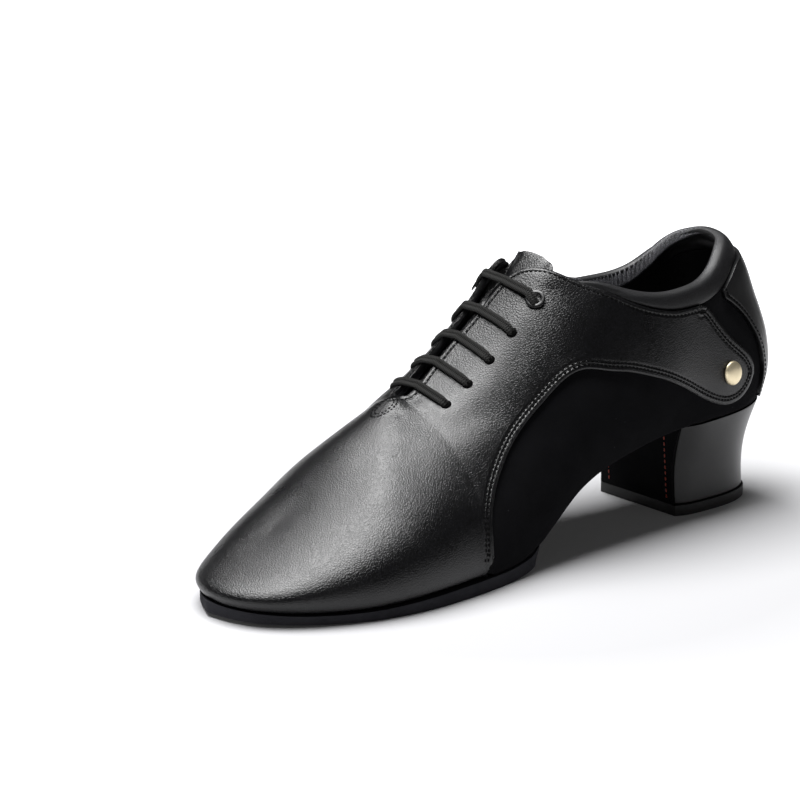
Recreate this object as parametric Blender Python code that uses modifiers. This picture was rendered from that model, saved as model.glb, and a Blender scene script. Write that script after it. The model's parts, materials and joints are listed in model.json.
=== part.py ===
# Ballroom dance shoe for the left foot, laced, with a split sole and a covered heel
# +Z is up, the toe points to -Y and the outer (lateral) side of the foot is at +X
import math

import bmesh
import bpy
import numpy as np
from mathutils import Vector

for old in list(bpy.data.objects):
    bpy.data.objects.remove(old, do_unlink=True)
shoe = bpy.data.collections.new("ballroom_dance_shoe")
bpy.context.scene.collection.children.link(shoe)

mm = 0.001

# Driving sizes
shoe_length = 277 * mm  # along the feather line, toe to heel back
ball_width = 91 * mm  # across the widest part of the forefoot
heel_rise = 38 * mm  # how far the seat stands above the forefoot
toe_spring = 3.5 * mm
instep_height = 98 * mm  # facing top above the foot's bed
collar_height = 53 * mm  # collar seam above the seat, at the heel back
toe_depth = 35 * mm  # from the toe tip back to the ridge of the toe box
heel_depth = 30 * mm  # from the heel back to the middle of the heel's curve
clearance = 0.35 * mm  # between pieces that touch

upper_wall = 1.6 * mm
lasting_margin = 10 * mm  # how far the upper turns in underneath
leather_thickness = 1.0 * mm  # of the front and the counter
leather_gap = 0.45 * mm  # between them and the curved side of the upper

sole_thickness = 5 * mm
sole_overhang = 0.8 * mm
sole_corner = 12 * mm  # rounding of the split sole's rear corners
insole_thickness = 2.0 * mm
insole_inset = 1.2 * mm  # beyond the wall, all round

tongue_thickness = 1.8 * mm
tongue_width = 50 * mm
tongue_rise = 19 * mm  # above the last row that lies inside the facings
tongue_ridge = 0.5 * mm

lift_thickness = 4.6 * mm
lift_width = 48 * mm
lift_setback = 5.5 * mm  # of the lift's back edge in front of the seat's
lift_overhang = 0.7 * mm
heel_front_lean = 3 * mm  # how far the breast leans back towards the floor
heel_hollow = 2.2 * mm  # how far the heel's sides curve in
seat_overhang = 0.3 * mm  # of the heel's top beyond the feather line
breast_thickness = 1.2 * mm

collar_height_of_roll = 8.5 * mm
collar_thickness = 6.4 * mm

hole_pitch = 10.3 * mm  # along the shoe, between rows of holes, counted down from the eyelets
lace_width = 3.8 * mm
lace_thickness = 2.0 * mm
lace_rows = 5
lace_sides = 8
eyelet_diameter = 7.8 * mm
eyelet_bore = 4.0 * mm
eyelet_thickness = 0.9 * mm
rivet_diameter = 9 * mm
rivet_height = 2.2 * mm

# Places along the shoe, as shares of its length from the toe
toe_curve = 0.16
heel_curve = 0.16
throat_start = 0.346
facing_top = 0.539
collar_start = 0.608
waist_start = 0.47
waist_end = 0.80
sole_end = 0.505
breast_share = 0.785
strap_end = 0.911
counter_start = 0.878
tongue_start = 0.29
tongue_inset = 0.012  # of its last row inside the facings, from their top
tongue_toe_width = 0.62  # share of the tongue's width at its lower end
top_row = 0.542
hole_height = 0.857  # share of the side's height
rivet_share = 0.866
rivet_level = 0.37

# Shape of the heel, as shares of its seat's length and of its width
heel_straight = 0.35  # from the breast back to where the heel starts to round
heel_corner = 0.10  # taken off the width at the breast
heel_corner_length = 0.08

curve_power = 2.3  # of the rounded toe and heel
roll_squareness = 0.75  # below 1 makes the collar's section boxier
roll_sides = 12
station_pitch = 0.034  # along the shoe, as a share of its length
turn_stations = 7  # round each half of the toe and of the heel
side_rows = 11  # up each side
counter_rows = 7
heel_rings = 6
breast_rows = 7
counter_top = 0.985  # share of the side's height


def table(columns, rows):
    values = np.array(rows, float).T
    return dict(zip(columns.split(), values))


def read(source, column, share):
    """Smooth curve through one column of a table, level where the column is level."""
    x = source["share"]
    y = source[column]
    run = np.diff(x)
    step = np.diff(y) / run
    same = step[1:] * step[:-1] > 0
    blend = run[:-1] / np.where(same, step[:-1], 1) + run[1:] / np.where(same, step[1:], 1)
    middle = np.where(same, (run[:-1] + run[1:]) / np.where(same, blend, 1), 0)
    slope = np.r_[step[0], middle, step[-1]]
    share = np.clip(share, x[0], x[-1])
    i = np.clip(np.searchsorted(x, share, side="right") - 1, 0, len(x) - 2)
    width = x[i + 1] - x[i]
    f = (share - x[i]) / width
    return (
        y[i] * (1 + 2 * f) * (1 - f) ** 2
        + slope[i] * width * f * (1 - f) ** 2
        + y[i + 1] * f * f * (3 - 2 * f)
        + slope[i + 1] * width * f * f * (f - 1)
    )


# Plan of the feather line: centre line and half widths, as shares of the ball width
plan = table(
    "share centre outer inner",
    [
        (0.00, 0.020, 0.330, 0.260),
        (0.04, 0.015, 0.380, 0.290),
        (0.10, 0.000, 0.440, 0.335),
        (0.18, -0.035, 0.545, 0.375),
        (0.26, -0.066, 0.600, 0.435),
        (0.34, -0.066, 0.580, 0.440),
        (0.41, -0.060, 0.540, 0.415),
        (0.48, -0.045, 0.475, 0.350),
        (0.56, -0.020, 0.390, 0.275),
        (0.62, -0.005, 0.345, 0.250),
        (0.70, 0.000, 0.330, 0.265),
        (0.78, 0.000, 0.330, 0.300),
        (0.86, 0.000, 0.335, 0.325),
        (0.94, 0.000, 0.338, 0.335),
        (1.00, 0.000, 0.330, 0.330),
    ],
)

# Underside: toe spring and heel rise, as shares of those sizes
bed = table(
    "share spring rise",
    [
        (0.00, 1.00, 0.00),
        (0.05, 0.62, 0.00),
        (0.10, 0.34, 0.00),
        (0.18, 0.08, 0.00),
        (0.25, 0.00, 0.00),
        (0.40, 0.00, 0.00),
        (0.44, 0.00, 0.03),
        (0.47, 0.00, 0.09),
        (0.49, 0.00, 0.16),
        (0.515, 0.00, 0.26),
        (0.56, 0.00, 0.49),
        (0.617, 0.00, 0.65),
        (0.70, 0.00, 0.80),
        (0.77, 0.00, 0.89),
        (0.84, 0.00, 0.93),
        (0.94, 0.00, 0.97),
        (1.00, 0.00, 1.00),
    ],
)

# Top line: reach from the middle as a share of the ball width, height above the bed
top = table(
    "share reach instep collar",
    [
        (0.127, 0.000, 0.262, 0.00),
        (0.200, 0.000, 0.335, 0.00),
        (0.280, 0.000, 0.460, 0.00),
        (0.346, 0.000, 0.574, 0.00),
        (0.358, 0.040, 0.594, 0.00),
        (0.382, 0.058, 0.637, 0.00),
        (0.415, 0.060, 0.703, 0.00),
        (0.451, 0.060, 0.773, 0.00),
        (0.486, 0.060, 0.825, 0.00),
        (0.521, 0.060, 0.868, 0.00),
        (0.539, 0.068, 0.900, 0.00),
        (0.552, 0.088, 0.900, 0.00),
        (0.569, 0.122, 0.875, 0.00),
        (0.599, 0.174, 0.799, 0.00),
        (0.627, 0.235, 0.000, 1.355),
        (0.654, 0.277, 0.000, 1.235),
        (0.710, 0.330, 0.000, 1.060),
        (0.764, 0.341, 0.000, 0.965),
        (0.830, 0.325, 0.000, 0.943),
        (0.870, 0.315, 0.000, 0.970),
        (0.905, 0.308, 0.000, 1.040),
        (0.940, 0.298, 0.000, 1.090),
        (1.000, 0.285, 0.000, 1.100),
    ],
)

# Shape of each side: lean outward at the feather, lean inward at the top, in degrees,
# and how far each lean is held, as a share of the straight line between them
side = table(
    "share flare low lean high",
    [
        (0.00, 30, 0.45, 90, 0.50),
        (0.10, 26, 0.42, 90, 0.46),
        (0.20, 22, 0.38, 88, 0.40),
        (0.34, 18, 0.36, 76, 0.30),
        (0.45, 20, 0.36, 60, 0.30),
        (0.55, 34, 0.36, 50, 0.32),
        (0.61, 44, 0.34, 40, 0.34),
        (0.66, 46, 0.34, 25, 0.33),
        (0.72, 38, 0.34, 14, 0.33),
        (0.80, 20, 0.34, 8, 0.33),
        (0.88, 18, 0.34, 10, 0.33),
        (1.00, 24, 0.36, 20, 0.40),
    ],
)

toe_y = -shoe_length / 2


def along(share):
    return toe_y + share * shoe_length


def closing(share):
    """Rounds the plan off at the toe and the heel."""
    toe = np.clip((toe_curve - share) / toe_curve, 0, 1)
    heel = np.clip((share - 1 + heel_curve) / heel_curve, 0, 1)
    return ((1 - toe**curve_power) * (1 - heel**curve_power)) ** (1 / curve_power)


def half_width(u):
    share = np.abs(u)
    wide = np.where(u >= 0, read(plan, "outer", share), read(plan, "inner", share))
    return ball_width * wide * closing(share)


def bed_height(share):
    spring = toe_spring * read(bed, "spring", share)
    return sole_thickness + clearance + spring + heel_rise * read(bed, "rise", share)


def bed_at(y):
    return bed_height((y - toe_y) / shoe_length)


def slope_gain(y):
    """How much taller a plate laid along the bed stands, where the bed climbs."""
    step = 1 * mm
    climb = (bed_at(y + step) - bed_at(y - step)) / (2 * step)
    return np.sqrt(1 + climb**2)


def profile(u):
    """Plan and end points of the upright section at u, -1 heel back, inner, 0 toe, 1 heel back, outer."""
    share = np.abs(u)
    from_toe = share * shoe_length
    from_heel = (1 - share) * shoe_length
    fan = 2.6
    toe_shift = toe_depth * np.clip(1 - from_toe / (fan * toe_depth), 0, 1) ** 2
    heel_shift = heel_depth * np.clip(1 - from_heel / (fan * heel_depth), 0, 1) ** 2
    axis_share = share + (toe_shift - heel_shift) / shoe_length
    top_share = np.maximum(share, axis_share)
    foot_x = ball_width * read(plan, "centre", share) + np.where(u >= 0, 1, -1) * half_width(u)
    foot = np.stack([foot_x, along(share)], -1)
    axis = np.stack([ball_width * read(plan, "centre", axis_share), along(axis_share)], -1)
    out = foot - axis
    reach = np.linalg.norm(out, axis=-1)
    instep = instep_height * read(top, "instep", top_share)
    collar = collar_height * read(top, "collar", top_share)
    return {
        "share": share,
        "axis": axis,
        "out": out / reach[..., None],
        "foot_reach": reach,
        "foot_z": bed_height(share),
        "top_reach": ball_width * read(top, "reach", top_share),
        "top_z": bed_height(top_share) + instep + collar,
    }


def upper_point(u, t):
    """Point of the upper's outer face, t from 0 at the feather line to 1 at the top line."""
    u, t = np.broadcast_arrays(np.asarray(u, float), np.asarray(t, float))
    p = profile(u)
    chord = np.hypot(p["foot_reach"] - p["top_reach"], p["top_z"] - p["foot_z"])
    flare = np.radians(read(side, "flare", p["share"]))
    lean = np.radians(read(side, "lean", p["share"]))
    low = chord * read(side, "low", p["share"])
    high = chord * read(side, "high", p["share"])
    low_reach = p["foot_reach"] + low * np.sin(flare)
    high_reach = p["top_reach"] + high * np.sin(lean)
    reach = (p["foot_reach"], low_reach, high_reach, p["top_reach"])
    low_z = p["foot_z"] + low * np.cos(flare)
    high_z = p["top_z"] - high * np.cos(lean)
    height = (p["foot_z"], low_z, high_z, p["top_z"])
    weights = ((1 - t) ** 3, 3 * t * (1 - t) ** 2, 3 * t * t * (1 - t), t**3)
    r = sum(w * v for w, v in zip(weights, reach))
    z = sum(w * v for w, v in zip(weights, height))
    plan_point = p["axis"] + p["out"] * r[..., None]
    return np.concatenate([plan_point, z[..., None]], -1)


# Lower edge of the front leather, upper edge of its strap and front edge of the counter,
# as shares of the side's height
front_edge = table(
    "share low",
    [
        (0.357, 0.030),
        (0.369, 0.280),
        (0.390, 0.395),
        (0.410, 0.455),
        (0.445, 0.520),
        (0.480, 0.546),
        (0.530, 0.550),
        (0.593, 0.562),
        (0.629, 0.572),
        (0.669, 0.572),
        (0.708, 0.530),
        (0.751, 0.425),
        (0.800, 0.255),
        (0.840, 0.145),
        (0.860, 0.120),
        (0.880, 0.130),
        (0.897, 0.180),
        (0.906, 0.230),
        (0.911, 0.285),
    ],
)
strap_edge = table(
    "share high",
    [
        (0.600, 0.985),
        (0.818, 0.985),
        (0.832, 0.915),
        (0.846, 0.805),
        (0.870, 0.635),
        (0.895, 0.490),
        (0.906, 0.415),
        (0.911, 0.345),
    ],
)
counter_edge = table(
    "share low",
    [
        (0.878, 0.930),
        (0.890, 0.860),
        (0.914, 0.700),
        (0.927, 0.565),
        (0.936, 0.435),
        (0.941, 0.320),
        (0.944, 0.150),
        (0.948, 0.040),
        (1.000, 0.030),
    ],
)

# Padded collar: thickness and height as shares of the full roll, and its tilt inward in degrees
roll = table(
    "share thick tall tilt",
    [
        (0.608, 0.25, 0.20, 30),
        (0.640, 0.50, 0.45, 25),
        (0.700, 0.88, 0.80, 18),
        (0.800, 1.00, 0.86, 16),
        (0.880, 1.00, 0.96, 24),
        (1.000, 1.00, 1.05, 38),
    ],
)

# Rounded end of the tongue: its width at each share of the rise
tongue_tip = table(
    "share width",
    [
        (0.35, 0.98),
        (0.70, 0.90),
        (0.92, 0.72),
        (1.00, 0.45),
    ],
)


def material(name, colour, roughness, metallic=0.0):
    made = bpy.data.materials.new(name)
    made.use_nodes = True
    shader = made.node_tree.nodes["Principled BSDF"]
    shader.inputs["Base Color"].default_value = (*colour, 1)
    shader.inputs["Roughness"].default_value = roughness
    shader.inputs["Metallic"].default_value = metallic
    made.diffuse_color = (*colour, 1)
    return made


calf = material("black_calf_leather", (0.012, 0.012, 0.013), 0.42)
suede = material("black_suede", (0.006, 0.006, 0.007), 0.95)
smooth_leather = material("smooth_black_leather", (0.014, 0.014, 0.015), 0.34)
lining = material("lining_leather", (0.02, 0.02, 0.021), 0.6)
sole_leather = material("sole_suede", (0.02, 0.02, 0.022), 0.9)
rubber = material("black_rubber", (0.015, 0.015, 0.016), 0.6)
cotton = material("waxed_cotton_lace", (0.013, 0.013, 0.012), 0.8)
gold = material("pale_gold_metal", (0.8, 0.68, 0.42), 0.25, 1.0)
black_metal = material("black_metal", (0.03, 0.03, 0.032), 0.3, 1.0)


def add_mesh(name, points, faces, finish, open_sheet=0.0, outward=1):
    """A node from points and faces; open_sheet is the thickness to give an open sheet."""
    mesh = bpy.data.meshes.new(name)
    mesh.from_pydata([Vector(p) for p in points], [], faces)
    work = bmesh.new()
    work.from_mesh(mesh)
    bmesh.ops.remove_doubles(work, verts=work.verts, dist=1e-6)
    bmesh.ops.dissolve_degenerate(work, edges=work.edges, dist=1e-6)
    if not open_sheet:
        bmesh.ops.recalc_face_normals(work, faces=work.faces)
    work.to_mesh(mesh)
    work.free()
    mesh.materials.append(finish)
    mesh.shade_smooth()
    mesh.set_sharp_from_angle(angle=math.radians(40))
    made = bpy.data.objects.new(name, mesh)
    shoe.objects.link(made)
    if open_sheet:
        wall = made.modifiers.new("Wall", "SOLIDIFY")
        wall.thickness = open_sheet
        wall.offset = outward
        wall.use_even_offset = True
        wall.use_rim = True
    return made


def grid_faces(columns, rows, wrap=False):
    """Quads of a grid stored column by column."""
    last = columns if wrap else columns - 1
    return [
        (i * rows + j, (i + 1) % columns * rows + j, (i + 1) % columns * rows + j + 1, i * rows + j + 1)
        for i in range(last)
        for j in range(rows - 1)
    ]


def loft_faces(columns, rows, last_cap=True):
    """Quads round a closed section stored column by column, with a cap at each end."""
    faces = []
    for i in range(columns - 1):
        for j in range(rows):
            k = (j + 1) % rows
            faces.append((i * rows + j, (i + 1) * rows + j, (i + 1) * rows + k, i * rows + k))
    faces.append(tuple(range(rows)))
    if last_cap:
        faces.append(tuple(range((columns - 1) * rows, columns * rows)))
    return faces


def add_loft(name, points, finish, last_cap=True):
    columns, rows = points.shape[:2]
    return add_mesh(name, points.reshape(-1, 3), loft_faces(columns, rows, last_cap), finish)


def stations(first, last):
    """Shares along one side, closer together where the toe and the heel turn."""
    pitch = station_pitch
    angle = np.linspace(0, math.pi / 2, turn_stations)
    bend = 1 - np.cos(angle) ** (2 / curve_power)
    straight = np.arange(toe_curve + pitch, 1 - heel_curve - pitch / 2, pitch)
    every = np.r_[toe_curve * bend, straight, 1 - heel_curve * bend[::-1]]
    inside = every[(every > first + pitch / 4) & (every < last - pitch / 4)]
    return np.r_[first, inside, last]


def snapped(shares, *features):
    """The same shares with the nearest one moved onto each feature."""
    shares = shares.copy()
    for feature in features:
        shares[np.argmin(np.abs(shares - feature))] = feature
    return shares


def both_sides(shares):
    """Signed stations from the inner heel, round the toe, to the outer heel."""
    return np.r_[-shares[::-1], shares[1:] if shares[0] == 0 else shares]


def upper_normal(u, t):
    """Outward unit normal of the upper's outer face."""
    step = 0.004
    u, t = np.broadcast_arrays(np.asarray(u, float), np.asarray(t, float))
    before, after = u - step, u + step
    before = np.where(before < -1, before + 2, before)
    after = np.where(after > 1, after - 2, after)
    low, high = np.clip(t - step, 0, 1), np.clip(t + step, 0, 1)
    along_u = upper_point(after, t) - upper_point(before, t)
    along_t = upper_point(u, high) - upper_point(u, low)
    normal = np.cross(along_u, along_t)
    return normal / np.linalg.norm(normal, axis=-1)[..., None]


def ridge_normal(share):
    """Upward normal of the ridge, square to the line along the middle of the instep."""
    step = 0.006
    share = np.maximum(share, step)
    run = upper_point(share + step, 1.0) - upper_point(share - step, 1.0)
    normal = np.stack([0 * run[..., 0], -run[..., 2], run[..., 1]], -1)
    return normal / np.linalg.norm(normal, axis=-1)[..., None]


def offset_point(u, t, distance):
    """Point at a distance outward from the upper's outer face, the same from both sides on the ridge."""
    u, t = np.broadcast_arrays(np.asarray(u, float), np.asarray(t, float))
    on_ridge = (t > 0.9999) & (np.abs(u) <= throat_start + 1e-6)
    middle = (np.abs(u) < 1e-6) | (np.abs(u) > 1 - 1e-6)
    below = np.where(on_ridge, 0.99, t)
    normal = upper_normal(u, below)
    shared = normal + upper_normal(-u, below)
    shared = shared / np.linalg.norm(shared, axis=-1)[..., None]
    normal = np.where(middle[..., None], shared, normal)
    normal = np.where(on_ridge[..., None], ridge_normal(np.abs(u)), normal)
    return upper_point(u, t) + distance * normal


def build_upper():
    """The hollow upper: turned in underneath, closed below the waist, open at the throat and the collar."""
    shares = snapped(stations(0, 1), throat_start, facing_top, collar_start, waist_start, waist_end)
    u = both_sides(shares)[:-1]
    p = profile(u)
    waist = (p["share"] > waist_start - 1e-6) & (p["share"] < waist_end + 1e-6)
    middle_x = ball_width * read(plan, "centre", p["share"])
    middle = np.stack([middle_x, along(p["share"]), p["foot_z"]], -1)
    turned = p["axis"] + p["out"] * (p["foot_reach"] - lasting_margin)[..., None]
    turned = np.concatenate([turned, bed_at(turned[..., 1])[..., None]], -1)
    inner = np.where(waist[:, None], middle, turned)
    t = np.linspace(0, 1, side_rows)
    sides = upper_point(u[:, None], t[None, :])
    points = np.concatenate([inner[:, None], sides], 1)
    columns, rows = points.shape[:2]
    faces = grid_faces(columns, rows, wrap=True)
    return add_mesh("upper", points.reshape(-1, 3), faces, suede, upper_wall, -1)


def patch(name, u, low, high, rows, finish):
    """A leather overlay of the upper between two edges."""
    share = np.linspace(0, 1, rows)
    t = low[:, None] + (high - low)[:, None] * share[None, :]
    points = offset_point(u[:, None], t, leather_gap)
    faces = grid_faces(len(u), rows)
    return add_mesh(name, points.reshape(-1, 3), faces, finish, leather_thickness, 1)


def refined(shares, *edges):
    """The same shares with more between them wherever an edge climbs fast."""
    most = 0.06
    found = [shares[:1]]
    for before, after in zip(shares[:-1], shares[1:]):
        change = max(abs(edge(after) - edge(before)) for edge in edges)
        steps = max(1, math.ceil(change / most))
        found.append(np.linspace(before, after, steps + 1)[1:])
    return np.concatenate(found)


def front_low(share):
    return read(front_edge, "low", share)


def front_high(share):
    return np.where(share < collar_start - 0.004, 1.0, read(strap_edge, "high", share))


def counter_low(share):
    return read(counter_edge, "low", share)


def build_front():
    shares = stations(0, strap_end)
    shares = snapped(shares, throat_start, front_edge["share"][0], facing_top, collar_start)
    shares = refined(np.unique(np.r_[shares, front_edge["share"][1]]), front_low, front_high)
    u = both_sides(shares)
    return patch("front_leather", u, front_low(np.abs(u)), front_high(np.abs(u)), side_rows, calf)


def build_counter():
    shares = refined(stations(counter_start, 1), counter_low)
    u = np.r_[shares, -shares[::-1][1:]]
    high = np.full(len(u), counter_top)
    return patch("counter", u, counter_low(np.abs(u)), high, counter_rows, smooth_leather)


def build_collar():
    """The padded roll that stands on the top line, from one facing round the heel to the other."""
    shares = snapped(stations(collar_start, 1), 1.0)
    u = np.r_[shares, -shares[::-1][1:]]
    p = profile(u)
    thick = collar_thickness / 2 * read(roll, "thick", p["share"])
    tall = collar_height_of_roll / 2 * read(roll, "tall", p["share"])
    tilt = np.radians(read(roll, "tilt", p["share"]))
    turn = np.linspace(0, 2 * math.pi, roll_sides, endpoint=False)
    across = thick[:, None] * np.sign(np.cos(turn)) * np.abs(np.cos(turn)) ** roll_squareness
    up = tall[:, None] * (1 + np.sign(np.sin(turn)) * np.abs(np.sin(turn)) ** roll_squareness)
    outermost = p["top_reach"] + leather_gap + leather_thickness
    reach = (outermost - thick)[:, None] + across - up * np.sin(tilt)[:, None]
    height = (p["top_z"] + clearance)[:, None] + up * np.cos(tilt)[:, None]
    plan_points = p["axis"][:, None] + p["out"][:, None] * reach[..., None]
    points = np.concatenate([plan_points, height[..., None]], -1)
    return add_loft("collar", points, lining)


def outline(shares, grow, closing_length=0.0):
    """Outer and inner edge of the underside at each share, grown outward."""
    edges = []
    for side_sign in (1, -1):
        p = profile(side_sign * np.maximum(shares, 1e-9))
        reach = p["foot_reach"] + grow
        if closing_length:
            end = np.clip((shares - shares[-1]) * shoe_length / closing_length + 1, 0, 1)
            middle_x = ball_width * read(plan, "centre", shares)
            square = (1 - end**3) ** (1 / 3)
            edge = p["axis"] + p["out"] * reach[..., None]
            edge[:, 0] = middle_x + (edge[:, 0] - middle_x) * square
        else:
            edge = p["axis"] + p["out"] * reach[..., None]
        edges.append(edge)
    return edges


def slab(name, edges, low, high, finish):
    """A closed plate between two edges; low and high give its height at a place along the shoe."""
    outer, inner = edges
    corners = []
    for edge, height in ((outer, low), (outer, high), (inner, high), (inner, low)):
        corners.append(np.concatenate([edge, height(edge[:, 1])[:, None]], -1))
    return add_loft(name, np.stack(corners, 1), finish)


def build_sole():
    turn = np.linspace(0, math.pi / 2, 5)[1:]
    rear = sole_end - sole_corner / shoe_length * (1 - np.sin(turn) ** (2 / 3))
    shares = np.r_[stations(0, sole_end - 1.1 * sole_corner / shoe_length), rear]

    def high(y):
        return bed_at(y) - clearance * slope_gain(y)

    def low(y):
        return high(y) - sole_thickness * slope_gain(y)

    return slab("forefoot_sole", outline(shares, sole_overhang, sole_corner), low, high, sole_leather)


def build_insole():
    shares = stations(0, 1)

    def low(y):
        return bed_at(y) + (upper_wall + clearance) * slope_gain(y)

    def high(y):
        return low(y) + insole_thickness * slope_gain(y)

    return slab("insole", outline(shares, -upper_wall - insole_inset), low, high, lining)


def heel_rounding(seat):
    """How far each station of the heel is from the breast's corner and round the back, from 0 to 1."""
    q = (seat - breast_share) / (1 - breast_share)
    corner = 1 - heel_corner * np.clip(1 - q / heel_corner_length, 0, 1)
    back = np.clip((q - heel_straight) / (1 - heel_straight), 0, 1)
    return q, corner, back


def heel_foot():
    """Outline of the heel where it meets the lift: shares, half width and place along the shoe."""
    seat = stations(breast_share, 1)
    q, corner, back = heel_rounding(seat)
    half = lift_width / 2 * corner * (1 - back**curve_power) ** (1 / curve_power)
    front = along(breast_share) + heel_front_lean
    y = front + q * (along(1) - lift_setback - front)
    return seat, half, y


def build_heel():
    """Covered heel: from the seat outline down to the lift's, with sides that curve in."""
    seat, foot_half, foot_y = heel_foot()
    outer, inner = outline(seat, seat_overhang)
    q, corner, back = heel_rounding(seat)
    top_z = bed_height(seat) - clearance
    foot_z = lift_thickness + clearance
    sections = []
    for edge, sign in ((outer, 1), (inner, -1)):
        rings = []
        for drop in np.linspace(0, 1, heel_rings):
            hollow = heel_hollow * math.sin(math.pi * drop)
            x = (1 - drop) * edge[:, 0] * corner + drop * sign * foot_half
            x = x - sign * hollow * np.clip(np.abs(x) / (lift_width / 4), 0, 1)
            y = (1 - drop) * edge[:, 1] + drop * foot_y - hollow * back
            z = (1 - drop) * top_z + drop * foot_z
            rings.append(np.stack([x, y, z], -1))
        sections += rings if sign > 0 else rings[::-1]
    return add_loft("heel", np.stack(sections, 1), smooth_leather, last_cap=False)


def build_lift():
    shares, half, y = heel_foot()
    grow = np.where(half > 0, lift_overhang, 0)
    stretch = (y - y.mean()) / np.ptp(y) * 2 * lift_overhang
    outer = np.stack([half + grow, y + stretch], -1)
    inner = np.stack([-half - grow, y + stretch], -1)
    return slab("top_lift", (outer, inner), lambda y: 0 * y, lambda y: 0 * y + lift_thickness, rubber)


def build_breast():
    """Suede flap on the front face of the heel."""
    outer, inner = outline(np.array([breast_share]), seat_overhang)
    top_z = bed_height(breast_share) - 3 * clearance
    foot_z = lift_thickness + clearance
    foot_y = along(breast_share) + heel_front_lean
    points = []
    for drop in np.linspace(0, 1, breast_rows):
        hollow = heel_hollow * math.sin(math.pi * drop)
        right = ((1 - drop) * outer[0, 0] + drop * lift_width / 2) * (1 - heel_corner) - hollow
        left = ((1 - drop) * inner[0, 0] - drop * lift_width / 2) * (1 - heel_corner) + hollow
        y = (1 - drop) * outer[0, 1] + drop * foot_y - clearance
        z = (1 - drop) * top_z + drop * foot_z
        points += [(left, y, z), (right, y, z)]
    faces = [(2 * i, 2 * i + 2, 2 * i + 3, 2 * i + 1) for i in range(breast_rows - 1)]
    return add_mesh("heel_breast", points, faces, suede, breast_thickness, 1)


def girth(u):
    """Length of the upper's side from the feather line to the top line."""
    t = np.linspace(0, 1, 25)
    line = upper_point(np.asarray(u)[:, None], t[None, :])
    return np.linalg.norm(np.diff(line, axis=1), axis=-1).sum(1)


def build_tongue():
    """The tongue lies inside the facings and stands up past them."""
    shares = np.linspace(tongue_start, facing_top - tongue_inset, 10)
    under = upper_wall + 2 * clearance
    taper = tongue_toe_width + (1 - tongue_toe_width) * (shares - shares[0]) / np.ptp(shares)
    half = tongue_width / 2 * taper
    rows = []
    for sign in (1, -1):
        u = sign * shares
        reach = profile(u)["top_reach"]
        edge = 1 - (half - reach) / girth(u)
        t = 1 + (edge - 1)[:, None] * np.linspace(0, 1, 5)[None, :]
        rows.append(offset_point(u[:, None], t, -under))
    outer, inner = rows
    middle = (outer[:, :1] + inner[:, :1]) / 2
    middle[..., 2] += tongue_ridge * np.clip((shares - throat_start) / 0.05, 0, 1)[:, None]
    sheet = np.concatenate([inner[:, ::-1], middle, outer], 1)
    rise = middle[-1, 0] - middle[-4, 0]
    rise = rise / np.linalg.norm(rise)
    edge = sheet[-1]
    centre = len(edge) // 2
    for step, narrow in zip(tongue_tip["share"], tongue_tip["width"]):
        row = edge + rise * tongue_rise * step
        row = row[centre] + (row - row[centre]) * np.array([narrow, 1, narrow])
        sheet = np.concatenate([sheet, row[None]], 0)
    columns, count = sheet.shape[:2]
    points = sheet.reshape(-1, 3)
    return add_mesh("tongue", points, grid_faces(columns, count), calf, tongue_thickness, 1)


def row_share(i):
    return top_row - (lace_rows - 1 - i) * hole_pitch / shoe_length


def swept(name, path, side, normal, half_width, half_thick, finish):
    """A closed flat tube through a path, with its width and thickness along given directions."""
    turn = np.linspace(0, 2 * math.pi, lace_sides, endpoint=False)
    across = side[:, None] * (half_width * np.cos(turn))[:, None]
    up = normal[:, None] * (half_thick * np.sin(turn))[:, None]
    return add_loft(name, path[:, None] + across + up, finish)


def build_lace_bar(i):
    """One straight bar of the lacing, over the facings from hole to hole."""
    share = row_share(i)
    lift = leather_gap + leather_thickness + 2 * clearance + lace_thickness / 2
    if i == lace_rows - 1:
        lift += eyelet_thickness
    t = np.linspace(hole_height, 1, 6)
    outer = offset_point(share, t, lift)
    inner = offset_point(-share, t, lift)
    path = np.concatenate([outer, inner[::-1]])
    normal = np.concatenate([upper_normal(share, t), upper_normal(-share, t)[::-1]])
    run = np.gradient(path, axis=0)
    side = np.cross(run, normal)
    side = side / np.linalg.norm(side, axis=-1)[:, None]
    normal = np.cross(side, run)
    normal = normal / np.linalg.norm(normal, axis=-1)[:, None]
    name = f"lace_bar_{i + 1}"
    return swept(name, path, side, normal, lace_width / 2, lace_thickness / 2, cotton)


def facing_out(point, normal):
    """Matrix that stands a piece made along +Z on a point of the upper."""
    turn = Vector(normal).to_track_quat("Z", "Y").to_matrix().to_4x4()
    turn.translation = Vector(point)
    return turn


def build_eyelet(name, u):
    major = (eyelet_diameter + eyelet_bore) / 4
    minor = (eyelet_diameter - eyelet_bore) / 4
    bpy.ops.mesh.primitive_torus_add(
        major_radius=major, minor_radius=minor, major_segments=20, minor_segments=8
    )
    ring = bpy.context.object
    for old in list(ring.users_collection):
        old.objects.unlink(ring)
    shoe.objects.link(ring)
    ring.name = name
    ring.data.name = name
    for vertex in ring.data.vertices:
        vertex.co.z *= eyelet_thickness / 2 / minor
    ring.data.materials.append(black_metal)
    ring.data.shade_smooth()
    lift = leather_gap + leather_thickness + clearance + eyelet_thickness / 2
    point = offset_point(u, hole_height, lift)
    ring.matrix_world = facing_out(point, upper_normal(u, hole_height))
    return ring


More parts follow.
